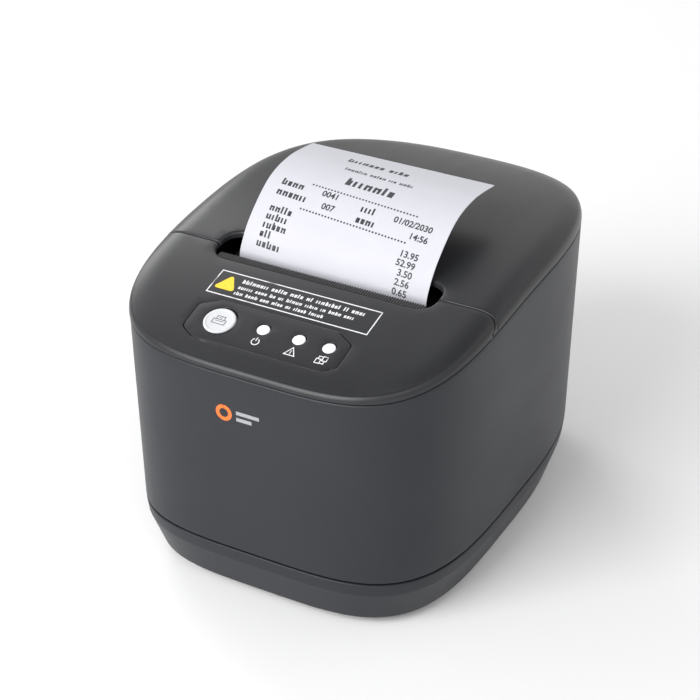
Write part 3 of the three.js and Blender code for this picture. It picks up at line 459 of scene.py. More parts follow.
class Nodes:
    """A short way to write a material's nodes."""

    def __init__(self, name):
        self.material = bpy.data.materials.new(name)
        self.material.use_nodes = True
        self.tree = self.material.node_tree
        self.shader = self.tree.nodes["Principled BSDF"]
        self.coordinates = self.tree.nodes.new("ShaderNodeTexCoord").outputs["Object"]

    def node(self, kind, **values):
        made = self.tree.nodes.new("ShaderNode" + kind)
        for key, value in values.items():
            if key in made.inputs:
                made.inputs[key].default_value = value
            else:
                setattr(made, key, value)
        return made

    def link(self, output, target):
        self.tree.links.new(output, target)

    def stretched(self, scale):
        mapping = self.node("Mapping")
        mapping.inputs["Scale"].default_value = scale
        self.link(self.coordinates, mapping.inputs["Vector"])
        return mapping.outputs["Vector"]

    def noise(self, scale, detail=2.0, vector=None):
        made = self.node("TexNoise", Scale=scale, Detail=detail)
        self.link(vector or self.coordinates, made.inputs["Vector"])
        return made.outputs["Fac"]

    def spread(self, value, low_value, high_value, start=0.3, end=0.7):
        """A number that goes from low to high as a value goes from start to end."""
        made = self.node("MapRange")
        for key, number in zip(("From Min", "From Max", "To Min", "To Max"),
                               (start, end, low_value, high_value)):
            made.inputs[key].default_value = number
        self.link(value, made.inputs["Value"])
        return made.outputs["Result"]

    def mix(self, factor, colour_a, colour_b):
        made = self.node("Mix", data_type="RGBA")
        for key, colour in ((6, colour_a), (7, colour_b)):
            if hasattr(colour, "default_value"):
                self.link(colour, made.inputs[key])
            else:
                made.inputs[key].default_value = (*colour, 1)
        self.link(factor, made.inputs[0])
        return made.outputs[2]

    def bump(self, height, strength, distance, before=None):
        made = self.node("Bump", Strength=strength, Distance=distance)
        self.link(height, made.inputs["Height"])
        if before is not None:
            self.link(before, made.inputs["Normal"])
        return made.outputs["Normal"]

    def finish(self, colour=None, roughness=None, normal=None, **values):
        for output, key in ((colour, "Base Color"), (roughness, "Roughness"), (normal, "Normal")):
            if output is not None:
                self.link(output, self.shader.inputs[key])
        for key, value in values.items():
            self.shader.inputs[key.replace("_", " ")].default_value = value
        return self.material


def shade(colour, factor):
    """A lighter or darker colour."""
    return tuple(min(1.0, c * factor) for c in colour)


def moulded(name, colour, roughness, grain=1600.0, depth=0.03, highlight_factor=1.35, **values):
    """Moulded plastic: fine spark grain, faint mottling, handling marks in the roughness, and a paler painted
    highlight, broken up by noise, where the mesh marks one.
    """
    m = Nodes(name)
    mottle = m.noise(38.0, 4.0)
    specks = m.noise(5200.0, 1.0)
    grain_height = m.noise(grain, 3.0)
    smear = m.noise(1.0, 3.0, m.stretched((160.0, 28.0, 60.0)))
    base = m.mix(m.spread(mottle, 0.0, 1.0), shade(colour, 0.95), shade(colour, 1.06))
    base = m.mix(m.spread(specks, 0.0, 0.10, 0.62, 0.74), base, shade(colour, 1.7))
    # Painted highlight: a paler copy of the colour where the mesh attribute marks the edges, broken up by noise.
    edge = m.node("Attribute", attribute_name="painted_highlight").outputs["Fac"]
    highlight_mask = m.node("Math", operation="MULTIPLY")
    m.link(edge, highlight_mask.inputs[0])
    m.link(m.spread(m.noise(420.0, 3.0), 0.25, 1.0, 0.4, 0.62), highlight_mask.inputs[1])
    base = m.mix(highlight_mask.outputs[0], base, shade(colour, highlight_factor))
    values.setdefault("Specular_IOR_Level", 0.36)
    rough = m.node("Math", operation="ADD")
    m.link(m.spread(smear, roughness - 0.015, roughness + 0.02), rough.inputs[0])
    m.link(m.spread(grain_height, -0.02, 0.02), rough.inputs[1])
    normal = m.bump(grain_height, depth, 0.00006)
    normal = m.bump(mottle, 0.02, 0.0004, normal)
    return m.finish(base, rough.outputs[0], normal, **values)


def metal(name, colour, roughness, scale, strength=0.06, metallic=1.0):
    """Rolled or ground metal: long fine lines along one axis, and cloudy plating."""
    m = Nodes(name)
    lines = m.noise(1.0, 3.0, m.stretched(scale))
    cloud = m.noise(130.0, 3.0)
    base = m.mix(m.spread(cloud, 0.0, 1.0), shade(colour, 0.86), shade(colour, 1.08))
    rough = m.node("Math", operation="ADD")
    m.link(m.spread(lines, roughness - 0.06, roughness + 0.08), rough.inputs[0])
    m.link(m.spread(cloud, -0.03, 0.03), rough.inputs[1])
    return m.finish(base, rough.outputs[0], m.bump(lines, strength, 0.00004), Metallic=metallic)


def paper_material(name, colour):
    m = Nodes(name)
    fibre = m.noise(900.0, 5.0)
    cloud = m.noise(60.0, 3.0)
    base = m.mix(m.spread(cloud, 0.0, 1.0), shade(colour, 0.975), colour)
    normal = m.bump(fibre, 0.05, 0.00003)
    return m.finish(base, m.spread(fibre, 0.55, 0.7), normal, Subsurface_Weight=0.0)


def ink_material(name, colour, roughness=0.6):
    """Printed ink: slightly uneven cover."""
    m = Nodes(name)
    patchy = m.noise(3000.0, 2.0)
    base = m.mix(m.spread(patchy, 0.0, 1.0), shade(colour, 0.85), shade(colour, 1.1))
    return m.finish(base, m.spread(patchy, roughness - 0.05, roughness + 0.08))


def board_material(name):
    """Solder mask over copper tracks, with bare pads."""
    m = Nodes(name)
    tracks = m.node("TexBrick", Scale=260.0)
    tracks.inputs["Mortar Size"].default_value = 0.035
    m.link(m.coordinates, tracks.inputs["Vector"])
    pads = m.node("TexVoronoi", Scale=330.0)
    m.link(m.coordinates, pads.inputs["Vector"])
    mask = m.mix(tracks.outputs["Fac"], (0.015, 0.10, 0.045), (0.03, 0.17, 0.07))
    base = m.mix(m.spread(pads.outputs["Distance"], 1.0, 0.0, 0.12, 0.16), mask, (0.55, 0.45, 0.25))
    normal = m.bump(tracks.outputs["Fac"], 0.2, 0.00005)
    return m.finish(base, m.spread(m.noise(300.0), 0.3, 0.45), normal)


def card_material(name):
    """Wound card core: spiral plies and fibres."""
    m = Nodes(name)
    plies = m.node("TexWave", Scale=90.0, Distortion=1.5)
    m.link(m.stretched((1.0, 1.0, 0.6)), plies.inputs["Vector"])
    fibre = m.noise(700.0, 5.0)
    base = m.mix(plies.outputs["Fac"], (0.36, 0.27, 0.16), (0.46, 0.36, 0.23))
    return m.finish(base, m.spread(fibre, 0.75, 0.95), m.bump(fibre, 0.15, 0.0001))


CASING_GREY = (0.019, 0.0205, 0.025)
COVER_GREY = (0.020, 0.0205, 0.0225)
PANEL_GREY = (0.019, 0.018, 0.021)

FINISHES = {
    "casing": moulded("casing_plastic", CASING_GREY, 0.42, Specular_IOR_Level=0.31),
    "top_cover": moulded("cover_plastic", COVER_GREY, 0.33),
    "panel": moulded("panel_overlay", PANEL_GREY, 0.36, grain=2600.0, depth=0.015),
    "black_plastic": moulded("black_plastic", (0.012, 0.012, 0.013), 0.42, highlight_factor=2.2),
    "foot_rubber": moulded("foot_rubber", (0.016, 0.016, 0.016), 0.8, grain=900.0, depth=0.12),
    "platen_rubber": moulded("platen_rubber", (0.025, 0.025, 0.027), 0.72, grain=1400.0, depth=0.1),
    "button_white": moulded("button_plastic", (0.60, 0.61, 0.63), 0.33, depth=0.012, highlight_factor=0.9),
    "light_window": moulded("light_window", (0.74, 0.74, 0.80), 0.28, depth=0.01, highlight_factor=1.0,
                            Emission_Color=(0.93, 0.93, 1.0, 1.0), Emission_Strength=0.06),
    "thermal_paper": paper_material("thermal_paper", (0.57, 0.57, 0.62)),
    "core_card": card_material("core_card"),
    "sheet_steel": metal("sheet_steel", (0.5, 0.51, 0.53), 0.4, (500.0, 40.0, 500.0)),
    "bright_steel": metal("bright_steel", (0.62, 0.63, 0.65), 0.22, (90.0, 1800.0, 1800.0)),
    "blade_steel": metal("blade_steel", (0.56, 0.57, 0.59), 0.27, (1600.0, 120.0, 900.0)),
    "screw_steel": metal("screw_steel", (0.06, 0.06, 0.062), 0.42, (900.0, 900.0, 200.0)),
    "motor_steel": metal("motor_steel", (0.38, 0.39, 0.4), 0.36, (300.0, 1200.0, 1200.0)),
    "brass": metal("brass", (0.62, 0.46, 0.19), 0.28, (200.0, 1500.0, 1500.0)),
    "gear_plastic": moulded("acetal", (0.72, 0.7, 0.63), 0.4, depth=0.02, highlight_factor=0.93),
    "head_aluminium": metal("head_aluminium", (0.6, 0.61, 0.62), 0.38, (60.0, 900.0, 900.0)),
    "head_ceramic": moulded("head_ceramic", (0.66, 0.62, 0.52), 0.22, depth=0.01, highlight_factor=1.0),
    "circuit_board": board_material("circuit_board"),
}
INK = ink_material("receipt_ink", (0.035, 0.035, 0.042), 0.55)
WHITE_INK = ink_material("white_ink", (0.78, 0.78, 0.8), 0.5)
YELLOW_INK = ink_material("yellow_ink", (0.9, 0.62, 0.02), 0.45)
DARK_INK = ink_material("dark_ink", (0.05, 0.05, 0.055), 0.5)
ORANGE_INK = ink_material("orange_ink", (0.85, 0.16, 0.02), 0.45)
GREY_INK = ink_material("grey_ink", (0.32, 0.32, 0.34), 0.45)

# ---------------- camera, floor and light

AZIMUTH, ELEVATION, ROLL = (math.radians(a) for a in (28.7706, 31.0937, -0.1716))
DISTANCE = 771.2 * MM
AIM = Vector((0, MIDDLE_Y, 70 * MM))
AIM_SHIFT = (-6.33 * MM, -2.17 * MM)
LENS = 100.48


def make_camera():
    """A long lens from the front right, a little above."""
    level = Vector((math.sin(AZIMUTH), -math.cos(AZIMUTH), 0))
    back = level * math.cos(ELEVATION) + Vector((0, 0, math.sin(ELEVATION)))
    side = Vector((math.cos(AZIMUTH), math.sin(AZIMUTH), 0))
    above = back.cross(side)
    right = side * math.cos(ROLL) + above * math.sin(ROLL)
    up = above * math.cos(ROLL) - side * math.sin(ROLL)
    data = bpy.data.cameras.new("camera")
    data.lens = LENS
    data.sensor_width = 36
    data.clip_start, data.clip_end = 0.01, 20
    camera = bpy.data.objects.new("camera", data)
    bpy.context.scene.collection.objects.link(camera)
    place = AIM + back * DISTANCE + right * AIM_SHIFT[0] + up * AIM_SHIFT[1]
    turn = Matrix((right, up, back)).transposed().to_4x4()
    camera.matrix_world = Matrix.Translation(place) @ turn
    bpy.context.scene.camera = camera


# Brightness of the sky at the sine of its height above the horizon.
SKY = [(0.10, 0.70), (0.45, 0.95), (0.70, 0.95), (0.88, 0.12)]
SKY_STRENGTH = 0.98
# Name, place and side in metres, and power in watts of each square lamp.
LAMPS = [
    ("key", (-0.5, -1.5, 1.0), 1.2, 33.0),
    ("fill", (1.0, -1.0, 1.3), 1.0, 4.0),
    ("side", (-1.3, 0.9, 1.0), 0.8, 9.0),
]
LIT_POINT = Vector((0, 0, 70 * MM))
FLOOR_HALF, FLOOR_DEPTH = 3.0, 0.01


def area_light(name, place, size, power):
    """A square light that points at the printer's middle."""
    data = bpy.data.lights.new(name, "AREA")
    data.size = size
    data.energy = power
    light = bpy.data.objects.new(name, data)
    bpy.context.scene.collection.objects.link(light)
    light.location = place
    light.rotation_euler = (Vector(place) - LIT_POINT).to_track_quat("Z", "Y").to_euler()


def make_studio():
    """An even sky that darkens overhead, three soft lamps and a pale floor."""
    scene = bpy.context.scene
    scene.view_settings.view_transform = "Standard"
    world = bpy.data.worlds.new("studio")
    world.use_nodes = True
    tree = world.node_tree
    direction = tree.nodes.new("ShaderNodeTexCoord").outputs["Generated"]
    split = tree.nodes.new("ShaderNodeSeparateXYZ")
    tree.links.new(direction, split.inputs["Vector"])
    ramp = tree.nodes.new("ShaderNodeValToRGB")
    tree.links.new(split.outputs["Z"], ramp.inputs["Fac"])
    stops = ramp.color_ramp.elements
    for _ in SKY[2:]:
        stops.new(1.0)
    for stop, (position, tone) in zip(stops, SKY):
        stop.position, stop.color = position, (tone, tone, tone, 1)
    tree.links.new(ramp.outputs["Color"], tree.nodes["Background"].inputs["Color"])
    tree.nodes["Background"].inputs["Strength"].default_value = SKY_STRENGTH
    scene.world = world
    for light in LAMPS:
        area_light(*light)
    floor_material = Nodes("floor")
    tone = floor_material.mix(floor_material.noise(6.0), (0.90, 0.90, 0.90), (0.93, 0.93, 0.93))
    floor_material.finish(tone, Roughness=0.9)
    across = (-FLOOR_HALF, FLOOR_HALF)
    slab = solid_box(across, across, (-FLOOR_DEPTH, 0))
    make_object("floor", *slab, floor_material.material)


make_camera()
make_studio()

# ---------------- top covers

PANEL_TILT = math.atan(2 * CROWN_FRONT_FALL * (CROWN_Y - PANEL_Y))
PANEL_MIDDLE = Matrix.Translation((0, PANEL_Y, float(crown_height(PANEL_Y))))
PANEL_PLACE = PANEL_MIDDLE @ Matrix.Rotation(PANEL_TILT, 4, "X")


def joint_side(step):
    """The joint between lid and front cover from the outline to the slot, on the right."""
    side_y = LID_SIDE_Y - step
    edge_y = LID_EDGE_Y - step
    start = (outline_x(side_y), side_y)
    t = np.linspace(0, 1, 9)[:, None]
    a, b, c = (np.array(p) for p in ((LID_SIDE_X, side_y), (LID_SIDE_X, edge_y), (LID_CORNER_X, edge_y)))
    bend = (1 - t) ** 2 * a + 2 * t * (1 - t) * b + t * t * c
    straight = line((LID_CORNER_X, edge_y), (SLOT_HALF, edge_y), 2 * MM)[1:]
    return np.concatenate([[start], bend, straight, [(SLOT_HALF, edge_y)]])


def mirrored(points):
    """The same run of points on the other side, in reverse order."""
    return (points * np.array([-1, 1]))[::-1]


def outline_part(from_point, to_point):
    """Outline points between two points on it, anticlockwise, both ends included."""
    ring, _ = outline(OUTLINE_POINTS)
    first = int(np.argmin(np.linalg.norm(ring - from_point, axis=1)))
    last = int(np.argmin(np.linalg.norm(ring - to_point, axis=1)))
    count = (last - first) % len(ring)
    between = ring[[(first + i) % len(ring) for i in range(1, count)]]
    return np.concatenate([[from_point], between, [to_point]])


def shoulder_points():
    """Rows of points that follow the outline, closer where the edge is rounder."""
    ring, _ = outline(OUTLINE_POINTS)
    along = np.roll(ring, -1, 0) - np.roll(ring, 1, 0)
    inward = np.stack([-along[:, 1], along[:, 0]], 1)
    inward /= np.linalg.norm(inward, axis=1)[:, None]
    rows = (0.03, 0.1, 0.2, 0.33, 0.5, 0.7, 0.95, 1.2, 1.5, 1.9, 2.5, 3.3, 4.4, 5.8, 7.6, 10.0, 12.5)
    return np.concatenate([ring + inward * row * MM for row in rows])


def cover_top(points, drop):
    """The upper side of the lid and front cover."""
    return np.column_stack([points, cover_height(points) - drop])


def cover_bottom(points):
    """The underside: the outline drawn in by the wall, then the crown less the wall."""
    inset = np.clip(outline_depth(points), 0, None)
    share = np.clip(1 - inset / SHOULDER, 0, 1)
    centre = np.array([0, MIDDLE_Y])
    reach = np.linalg.norm(points - centre, axis=1)
    moved = centre + (points - centre) * (1 - WALL * share / reach)[:, None]
    foot = joint_height(points[:, 1]) + SEAM / 2
    below = np.minimum(cover_height(points), crown_height(points[:, 1])) - WALL
    height = np.maximum(foot, below)
    height = np.where(inset < 1e-6, foot, height)
    return np.column_stack([moved, height])


def add_painted_highlight(made, segments):
    """Marks the points where a highlight is painted: near the cut edges and along the rim's top edge."""
    mesh = made.data
    co = np.empty(len(mesh.vertices) * 3)
    mesh.vertices.foreach_get("co", co)
    co = co.reshape(-1, 3)
    near = np.clip(1 - distance_to(co[:, :2], segments) / HIGHLIGHT_REACH, 0, 1)
    # The painted highlight also runs along the rim's top edge, where the rise meets the shoulder.
    rim = np.clip(1 - np.abs(outline_depth(co[:, :2]) - RIM_INSET) / HIGHLIGHT_REACH, 0, 1)
    painted_highlight = mesh.attributes.new("painted_highlight", "FLOAT", "POINT")
    painted_highlight.data.foreach_set("value", np.maximum(near, 0.8 * rim).astype(np.float32))


def lip_marks(loop, start):
    """Lip radius of each segment from a start on: wide round the slot, narrow at the joint."""
    marks = np.zeros(len(loop))
    middles = (loop + np.roll(loop, -1, 0)) / 2
    at_slot = np.abs(middles[:, 0]) < SLOT_HALF + 0.01 * MM
    marks[start:] = np.where(at_slot, SLOT_LIP, SEAM_LIP)[start:]
    return marks


def make_lid():
    joint = joint_side(0)
    corner_y = SLOT_REAR - SLOT_CORNER
    slot_side = np.concatenate([
        line((SLOT_HALF, LID_EDGE_Y), (SLOT_HALF, corner_y), 1 * MM)[1:],
        arc((SLOT_HALF - SLOT_CORNER, corner_y), SLOT_CORNER, 0, 90, 12),
    ])
    rear_ends = [(SLOT_HALF - SLOT_CORNER, SLOT_REAR), (SLOT_CORNER - SLOT_HALF, SLOT_REAR)]
    rear = line(*rear_ends, 2.5 * MM)[1:]
    inner = np.concatenate([joint, slot_side, rear, mirrored(slot_side), mirrored(joint)])
    outer = outline_part(joint[0], joint[0] * (-1, 1))
    loop = np.concatenate([outer, inner[::-1][1:-1]])
    marks = lip_marks(loop, len(outer) - 1)
    parts = [plate([loop], [marks], cover_top, cover_bottom, COVER_SPACING, shoulder_points())]
    turn = Matrix.Translation((-HINGE_HALF, HINGE_Y, HINGE_Z)) @ Matrix.Rotation(math.pi / 2, 4, "Y")
    edge = 0.4 * MM
    barrel = rounded_profile(
        [(0, 0), (BARREL, 0, edge), (BARREL, 2 * HINGE_HALF, edge), (0, 2 * HINGE_HALF)], 3)
    parts.append(turned(barrel, 32, turn))
    block_y = (HINGE_Y - BARREL, HINGE_Y + 0.6 * BARREL)
    parts.append(solid_box((-HINGE_HALF, HINGE_HALF), block_y, (HINGE_Z, HINGE_BLOCK_TOP)))
    made = piece("lid_cover", merged(*parts), FINISHES["top_cover"], "lid", "top_cover", "lid_shell")
    # Painted highlight along the slot and joint edges and the rim's top edge.
    add_painted_highlight(made, edge_segments([loop], [marks]))


def panel_loop(grow):
    """The control panel's outline: clipped corners, slightly rounded."""
    left, right = PANEL_LEFT - grow, PANEL_RIGHT + grow
    front, rear = PANEL_FRONT - grow, PANEL_REAR + grow
    cut_x, cut_y = 7.0 * MM, 4.0 * MM
    front_cut_x, front_cut_y = 5.5 * MM, 3.4 * MM
    corners = [
        (left + front_cut_x, front), (right - front_cut_x, front),
        (right, front + front_cut_y), (right, rear - cut_y),
        (right - cut_x, rear), (left + cut_x, rear),
        (left, rear - cut_y), (left, front + front_cut_y),
    ]
    ring = []
    n = len(corners)
    for i in range(n):
        p, a, b = (np.array(corners[k % n]) for k in (i, i - 1, i + 1))
        back = (a - p) / np.linalg.norm(a - p) * PANEL_BEND
        ahead = (b - p) / np.linalg.norm(b - p) * PANEL_BEND
        for t in np.linspace(0, 1, 6):
            ring.append(p + back * (1 - t) ** 2 + ahead * t * t)
        end = np.array(corners[(i + 1) % n])
        stop = end - (end - p) / np.linalg.norm(end - p) * PANEL_BEND
        ring += list(line(p + ahead, stop, 2.5 * MM)[1:])
    return np.array(ring)


def circle(x, y, radius, steps):
    """Points of a whole circle, without repeating the first."""
    return arc((x, y), radius, 0, 360, steps)[:-1]


def control_holes(grow):
    """Openings over the button and the lights, as seen from above."""
    holes = [circle(BUTTON_X, middle("feed_button", 1), BUTTON_RADIUS + grow, 48)]
    holes += [circle(middle(name, 0), middle(name, 1), LIGHT_RADIUS + grow, 28) for name in LIGHTS]
    for hole in holes:
        centre = hole[:, 1].mean()
        hole[:, 1] = centre + (hole[:, 1] - centre) * math.cos(PANEL_TILT)
    return holes


def make_front_cover():
    joint = joint_side(SEAM)
    corner_y = SLOT_FRONT + SLOT_CORNER
    slot_side = arc((SLOT_HALF - SLOT_CORNER, corner_y), SLOT_CORNER, 0, -90, 12)
    front = line((SLOT_HALF - SLOT_CORNER, SLOT_FRONT), (SLOT_CORNER - SLOT_HALF, SLOT_FRONT), 2.5 * MM)[1:]
    inner = np.concatenate([joint, slot_side, front, mirrored(slot_side), mirrored(joint)])
    outer = outline_part(joint[0] * (-1, 1), joint[0])
    loop = np.concatenate([outer, inner[1:-1]])
    marks = lip_marks(loop, len(outer) - 1)
    hole = panel_loop(PANEL_GAP)
    hole_marks = np.full(len(hole), PANEL_LIP)
    loops, lips = [loop, hole], [marks, hole_marks]
    shell = plate(loops, lips, cover_top, cover_bottom, COVER_SPACING, shoulder_points())
    bed = [panel_loop(PANEL_GAP + BED_LAP), *control_holes(BED_HOLE_GAP)]
    square_edges = [np.zeros(len(b)) for b in bed]
    bed_under = under_crown(WALL + 0.1 * MM)
    floor = plate(bed, square_edges, under_crown(BED_DROP), bed_under, COVER_SPACING)
    shells = merged(shell, floor)
    finish = FINISHES["top_cover"]
    made = piece("front_cover_shell", shells, finish, "front_cover", "top_cover", "front_cover")
    # Painted highlight along the slot and joint edges and the rim's top edge.
    add_painted_highlight(made, edge_segments([loop], [marks]))


def make_panel():
    """The overlay with clipped corners, just below the cover's surface."""
    loops = [panel_loop(0), *control_holes(PANEL_GAP)]
    lips = [np.full(len(loop), 0.22 * MM) for loop in loops]
    shell = plate(loops, lips, under_crown(PANEL_DROP), under_crown(PANEL_DEPTH), 3 * MM)
    piece("panel_overlay", shell, FINISHES["panel"], "front_cover", "panel", "control_panel")


def make_button():
    """White cap with a raised ring round a shallow dish, on a flange under the panel."""
    r = BUTTON_RADIUS - 0.05 * MM
    proud = BUTTON_PROUD
    profile = rounded_profile([
        (0, -3.4 * MM), (7.2 * MM, -3.4 * MM, 0.1 * MM), (7.2 * MM, -2.95 * MM, 0.1 * MM),
        (r, -2.95 * MM), (r, proud, 0.45 * MM), (r - 1.0 * MM, proud, 0.2 * MM),
        (r - 1.25 * MM, DISH_HEIGHT, 0.15 * MM), (0, DISH_HEIGHT),
    ], 4)
    place = PANEL_PLACE @ Matrix.Translation((BUTTON_X, 0, 0))
    shell = turned(profile, 64, place)
    finish = FINISHES["button_white"]
    piece("feed_button_cap", shell, finish, "feed_button", "button_white", "feed_button")


def make_lights():
    """Three milky windows, slightly domed."""
    for name in LIGHTS:
        place = PANEL_PLACE @ Matrix.Translation((middle(name, 0), LIGHT_UP, 0))
        r = LIGHT_RADIUS - 0.02 * MM
        profile = rounded_profile([
            (0, -3.9 * MM), (r, -3.9 * MM, 0.1 * MM), (r, 0.16 * MM, 0.22 * MM), (0, 0.24 * MM)], 5)
        shell = turned(profile, 40, place)
        finish = FINISHES["light_window"]
        piece(name + "_window", shell, finish, "front_cover", "light_window", name)


make_lid()
make_front_cover()
make_panel()
make_button()
make_lights()

# ---------------- lower casing and base

RING_SPACING = 3 * MM
CASING_LIP = 0.9 * MM
BASE_LIP = 0.6 * MM
RING, RING_LENGTH = outline(3000)
RING_LOOP = np.concatenate([RING, RING[:1]])
RING_AT = np.linspace(0, RING_LENGTH, len(RING_LOOP))


def on_ring(along, inset):
    """Plan place at a distance along the outline, drawn in by an inset."""
    x = np.interp(along, RING_AT, RING_LOOP[:, 0])
    v = np.interp(along, RING_AT, RING_LOOP[:, 1]) - MIDDLE_Y
    depth, _ = powers(v)
    return np.stack([x * (1 - inset / HALF_WIDTH), v * (1 - inset / depth) + MIDDLE_Y], 1)


def ring_place(x):
    """Distance along the outline to the rear point with that x."""
    quarter = len(RING) // 4
    rear = RING[quarter: 3 * quarter, 0]
    return float(RING_AT[quarter + int(np.argmin(np.abs(rear - x)))])


def opening(half_width, level, side):
    """An opening in the middle of the rear, for band."""
    return ring_place(half_width), ring_place(-half_width), level, side


def band(low_line, high_line, notches, surface, inner, lip, rows):
    """Closed shell round the outline between two heights that are functions of the distance.

    The region is drawn flat, as (distance, height), and starts at the middle of the front.
    notches are (start, end, depth, side) openings in the lower or upper edge.
    """
    at = np.linspace(0, RING_LENGTH, round(RING_LENGTH / RING_SPACING) + 1)
    clear = 0.2 * RING_SPACING
    lower, upper = [], []
    for side, target, base in (("low", lower, low_line), ("high", upper, high_line)):
        marks = sorted((n for n in notches if n[3] == side), key=lambda n: n[0])
        cursor = 0.0
        sign = 1 if side == "low" else -1
        for start, end, level, _ in marks:
            target += [(s, base(s)) for s in at if cursor <= s < start - clear]
            bend = level - sign * OPENING_CORNER
            left, right = start + OPENING_CORNER, end - OPENING_CORNER
            above = (start, base(start) + sign * 0.1 * MM)
            runs = [
                [(start, base(start))],
                line(above, (start, bend), RING_SPACING)[1:],
                arc((left, bend), OPENING_CORNER, 180, 180 - sign * 90, 5),
                line((left, level), (right, level), RING_SPACING)[1:],
                arc((right, bend), OPENING_CORNER, sign * 90, 0, 5),
                line((end, bend), (end, base(end)), RING_SPACING)[1:],
                [(end, base(end))],
            ]
            target += [tuple(p) for run in runs for p in run]
            cursor = end + clear
        target += [(s, base(s)) for s in at if s >= cursor]
    extra = np.array([(s, h) for h in rows for s in at[1:-1]])
    columns = []
    for s in (RING_LENGTH, 0.0):
        # The two ends meet, so both get the same points.
        foot, head = low_line(s), high_line(s)
        column = [foot + lip * share for share in LIP_SHARES]
        column += [h for h in rows if foot + 1.05 * lip < h < head - 1.05 * lip]
        column += [head - lip * share for share in LIP_SHARES[::-1]]
        columns.append([(s, h) for h in column])
    right_column, left_column = columns[0], columns[1][::-1]
    loop = np.array(lower + right_column + upper[::-1] + left_column)
    marks = np.full(len(loop), lip)
    marks[len(lower) - 1: len(lower) + len(right_column)] = 0
    marks[len(loop) - len(left_column) - 1:] = 0
    verts, faces = plate([loop], [marks], surface, inner, 1.6 * RING_SPACING, extra)
    return verts, drop_end_walls(verts, faces)


def drop_end_walls(verts, faces):
    """Leaves out the walls where the flat region's two ends meet, at the middle of the front."""
    kept = []
    for face in faces:
        points = verts[list(face)]
        if len(face) == 4 and np.all(np.abs(points[:, 0]) < 1e-7) and np.all(points[:, 1] < 0):
            continue
        kept.append(face)
    return kept


def casing_inset(z):
    """How far the casing's wall is drawn in at a height, from its taper."""
    return np.clip(JOINT_MIDDLE - z, -1, None) * CASING_TAPER


def make_casing():
    """The tapered wall, open at the rear for the connectors and the hinge."""

    def top_line(s):
        y = float(on_ring(np.array([s]), 0)[0, 1])
        return float(joint_height(y)) - SEAM / 2

    def surface(points, drop=0.0):
        z = points[:, 1]
        return np.column_stack([on_ring(points[:, 0], casing_inset(z) + drop), z])

    def inner(points):
        return surface(points, WALL)

    openings = [
        opening(BAY_HALF, BAY_TOP, "low"),
        opening(EAR_START, HINGE_Z - BARREL_ROOM, "high"),
    ]
    rows = np.linspace(CASING_BOTTOM + 2 * MM, 98 * MM, 14)
    parts = [band(lambda s: CASING_BOTTOM, top_line, openings, surface, inner, CASING_LIP, rows)]
    for side in (-1, 1):
        parts.append(solid_box(sorted((side * EAR_START, side * EAR_END)), EAR_Y, EAR_Z))
    shell = merged(*parts)
    piece("casing_shell", shell, FINISHES["casing"], "casing", "casing", "main_casing", sharp=40)


# Inset, height and, where the base bends, the radius of the bend.
BASE_BOTTOM = 2.6 * MM
BASE_FLOOR = 5 * MM
BASE_PROFILE = [
    (16 * MM, BASE_BOTTOM), (8.6 * MM, BASE_BOTTOM, 1.0 * MM), (6.4 * MM, 4.4 * MM, 1.2 * MM),
    (2.1 * MM, 18.2 * MM, 1.2 * MM), (1.55 * MM, BASE_TOP),
]
BASE_RIM = 14 * MM
BASE_INNER_RISE = (2.6 * MM, 10 * MM)
SCREW_HOLE = 3.4 * MM


def make_base():
    """The bevelled lower casing, with a bottom that has a hole for each screw."""
    corners = np.array(rounded_profile(BASE_PROFILE, 8))
    along = np.concatenate([[0], np.cumsum(np.linalg.norm(np.diff(corners, axis=0), axis=1))])

    def surface(points, drop):
        inset = np.interp(points[:, 1], along, corners[:, 0])
        z = np.interp(points[:, 1], along, corners[:, 1])
        return np.column_stack([on_ring(points[:, 0], inset + drop), z])

    def inner(points):
        made = surface(points, WALL)
        low_z, high_z = BASE_INNER_RISE
        made[:, 2] += WALL * np.clip((high_z - made[:, 2]) / (high_z - low_z), 0, 1)
        return made

    bay = opening(BAY_HALF, float(np.interp(BAY_BOTTOM, corners[4:, 1], along[4:])), "high")
    length = float(along[-1])
    rows = along[1:-1]
    wall = band(lambda s: 0.0, lambda s: length, [bay], surface, inner, BASE_LIP, rows)
    plan, _ = outline(160)
    centre = np.array([0, MIDDLE_Y])
    reach = np.linalg.norm(plan - centre, axis=1)[:, None]
    rim = centre + (plan - centre) * (1 - BASE_RIM / reach)
    screws = [name for name in frame["nodes"] if name.startswith("base_screw")]
    holes = [circle(middle(name, 0), middle(name, 1), SCREW_HOLE, 32) for name in screws]
    lips = [np.zeros(len(rim))] + [np.full(len(h), 0.4 * MM) for h in holes]
    bottom = plate([rim, *holes], lips, at_level(BASE_BOTTOM), at_level(BASE_FLOOR), 9 * MM)
    shell = merged(wall, bottom)
    piece("base_shell", shell, FINISHES["casing"], "casing", "casing", "base_tray", sharp=40)


make_casing()
make_base()

# ---------------- tear bar


TEAR_HALF = 43.6 * MM
TEAR_TEETH = 84
TEAR_RIDGE = 0.22 * MM
# Cross-section (y, z) in millimetres from the rear of its flange, under the cover, to the teeth.
TEAR_SECTION = [(-48.2, 113.1), (-48.2, 113.9), (-45.4, 114.6), (-44.5, 115.1), (-44.4, 116.2),
                (-43.9, 116.55), (-41.2, 116.8)]
TEAR_TIP, TEAR_ROOT = (-39.7, 116.7), (-40.7, 116.75)
TEAR_UNDER = [(-40.4, 115.7), (-43.6, 114.0)]


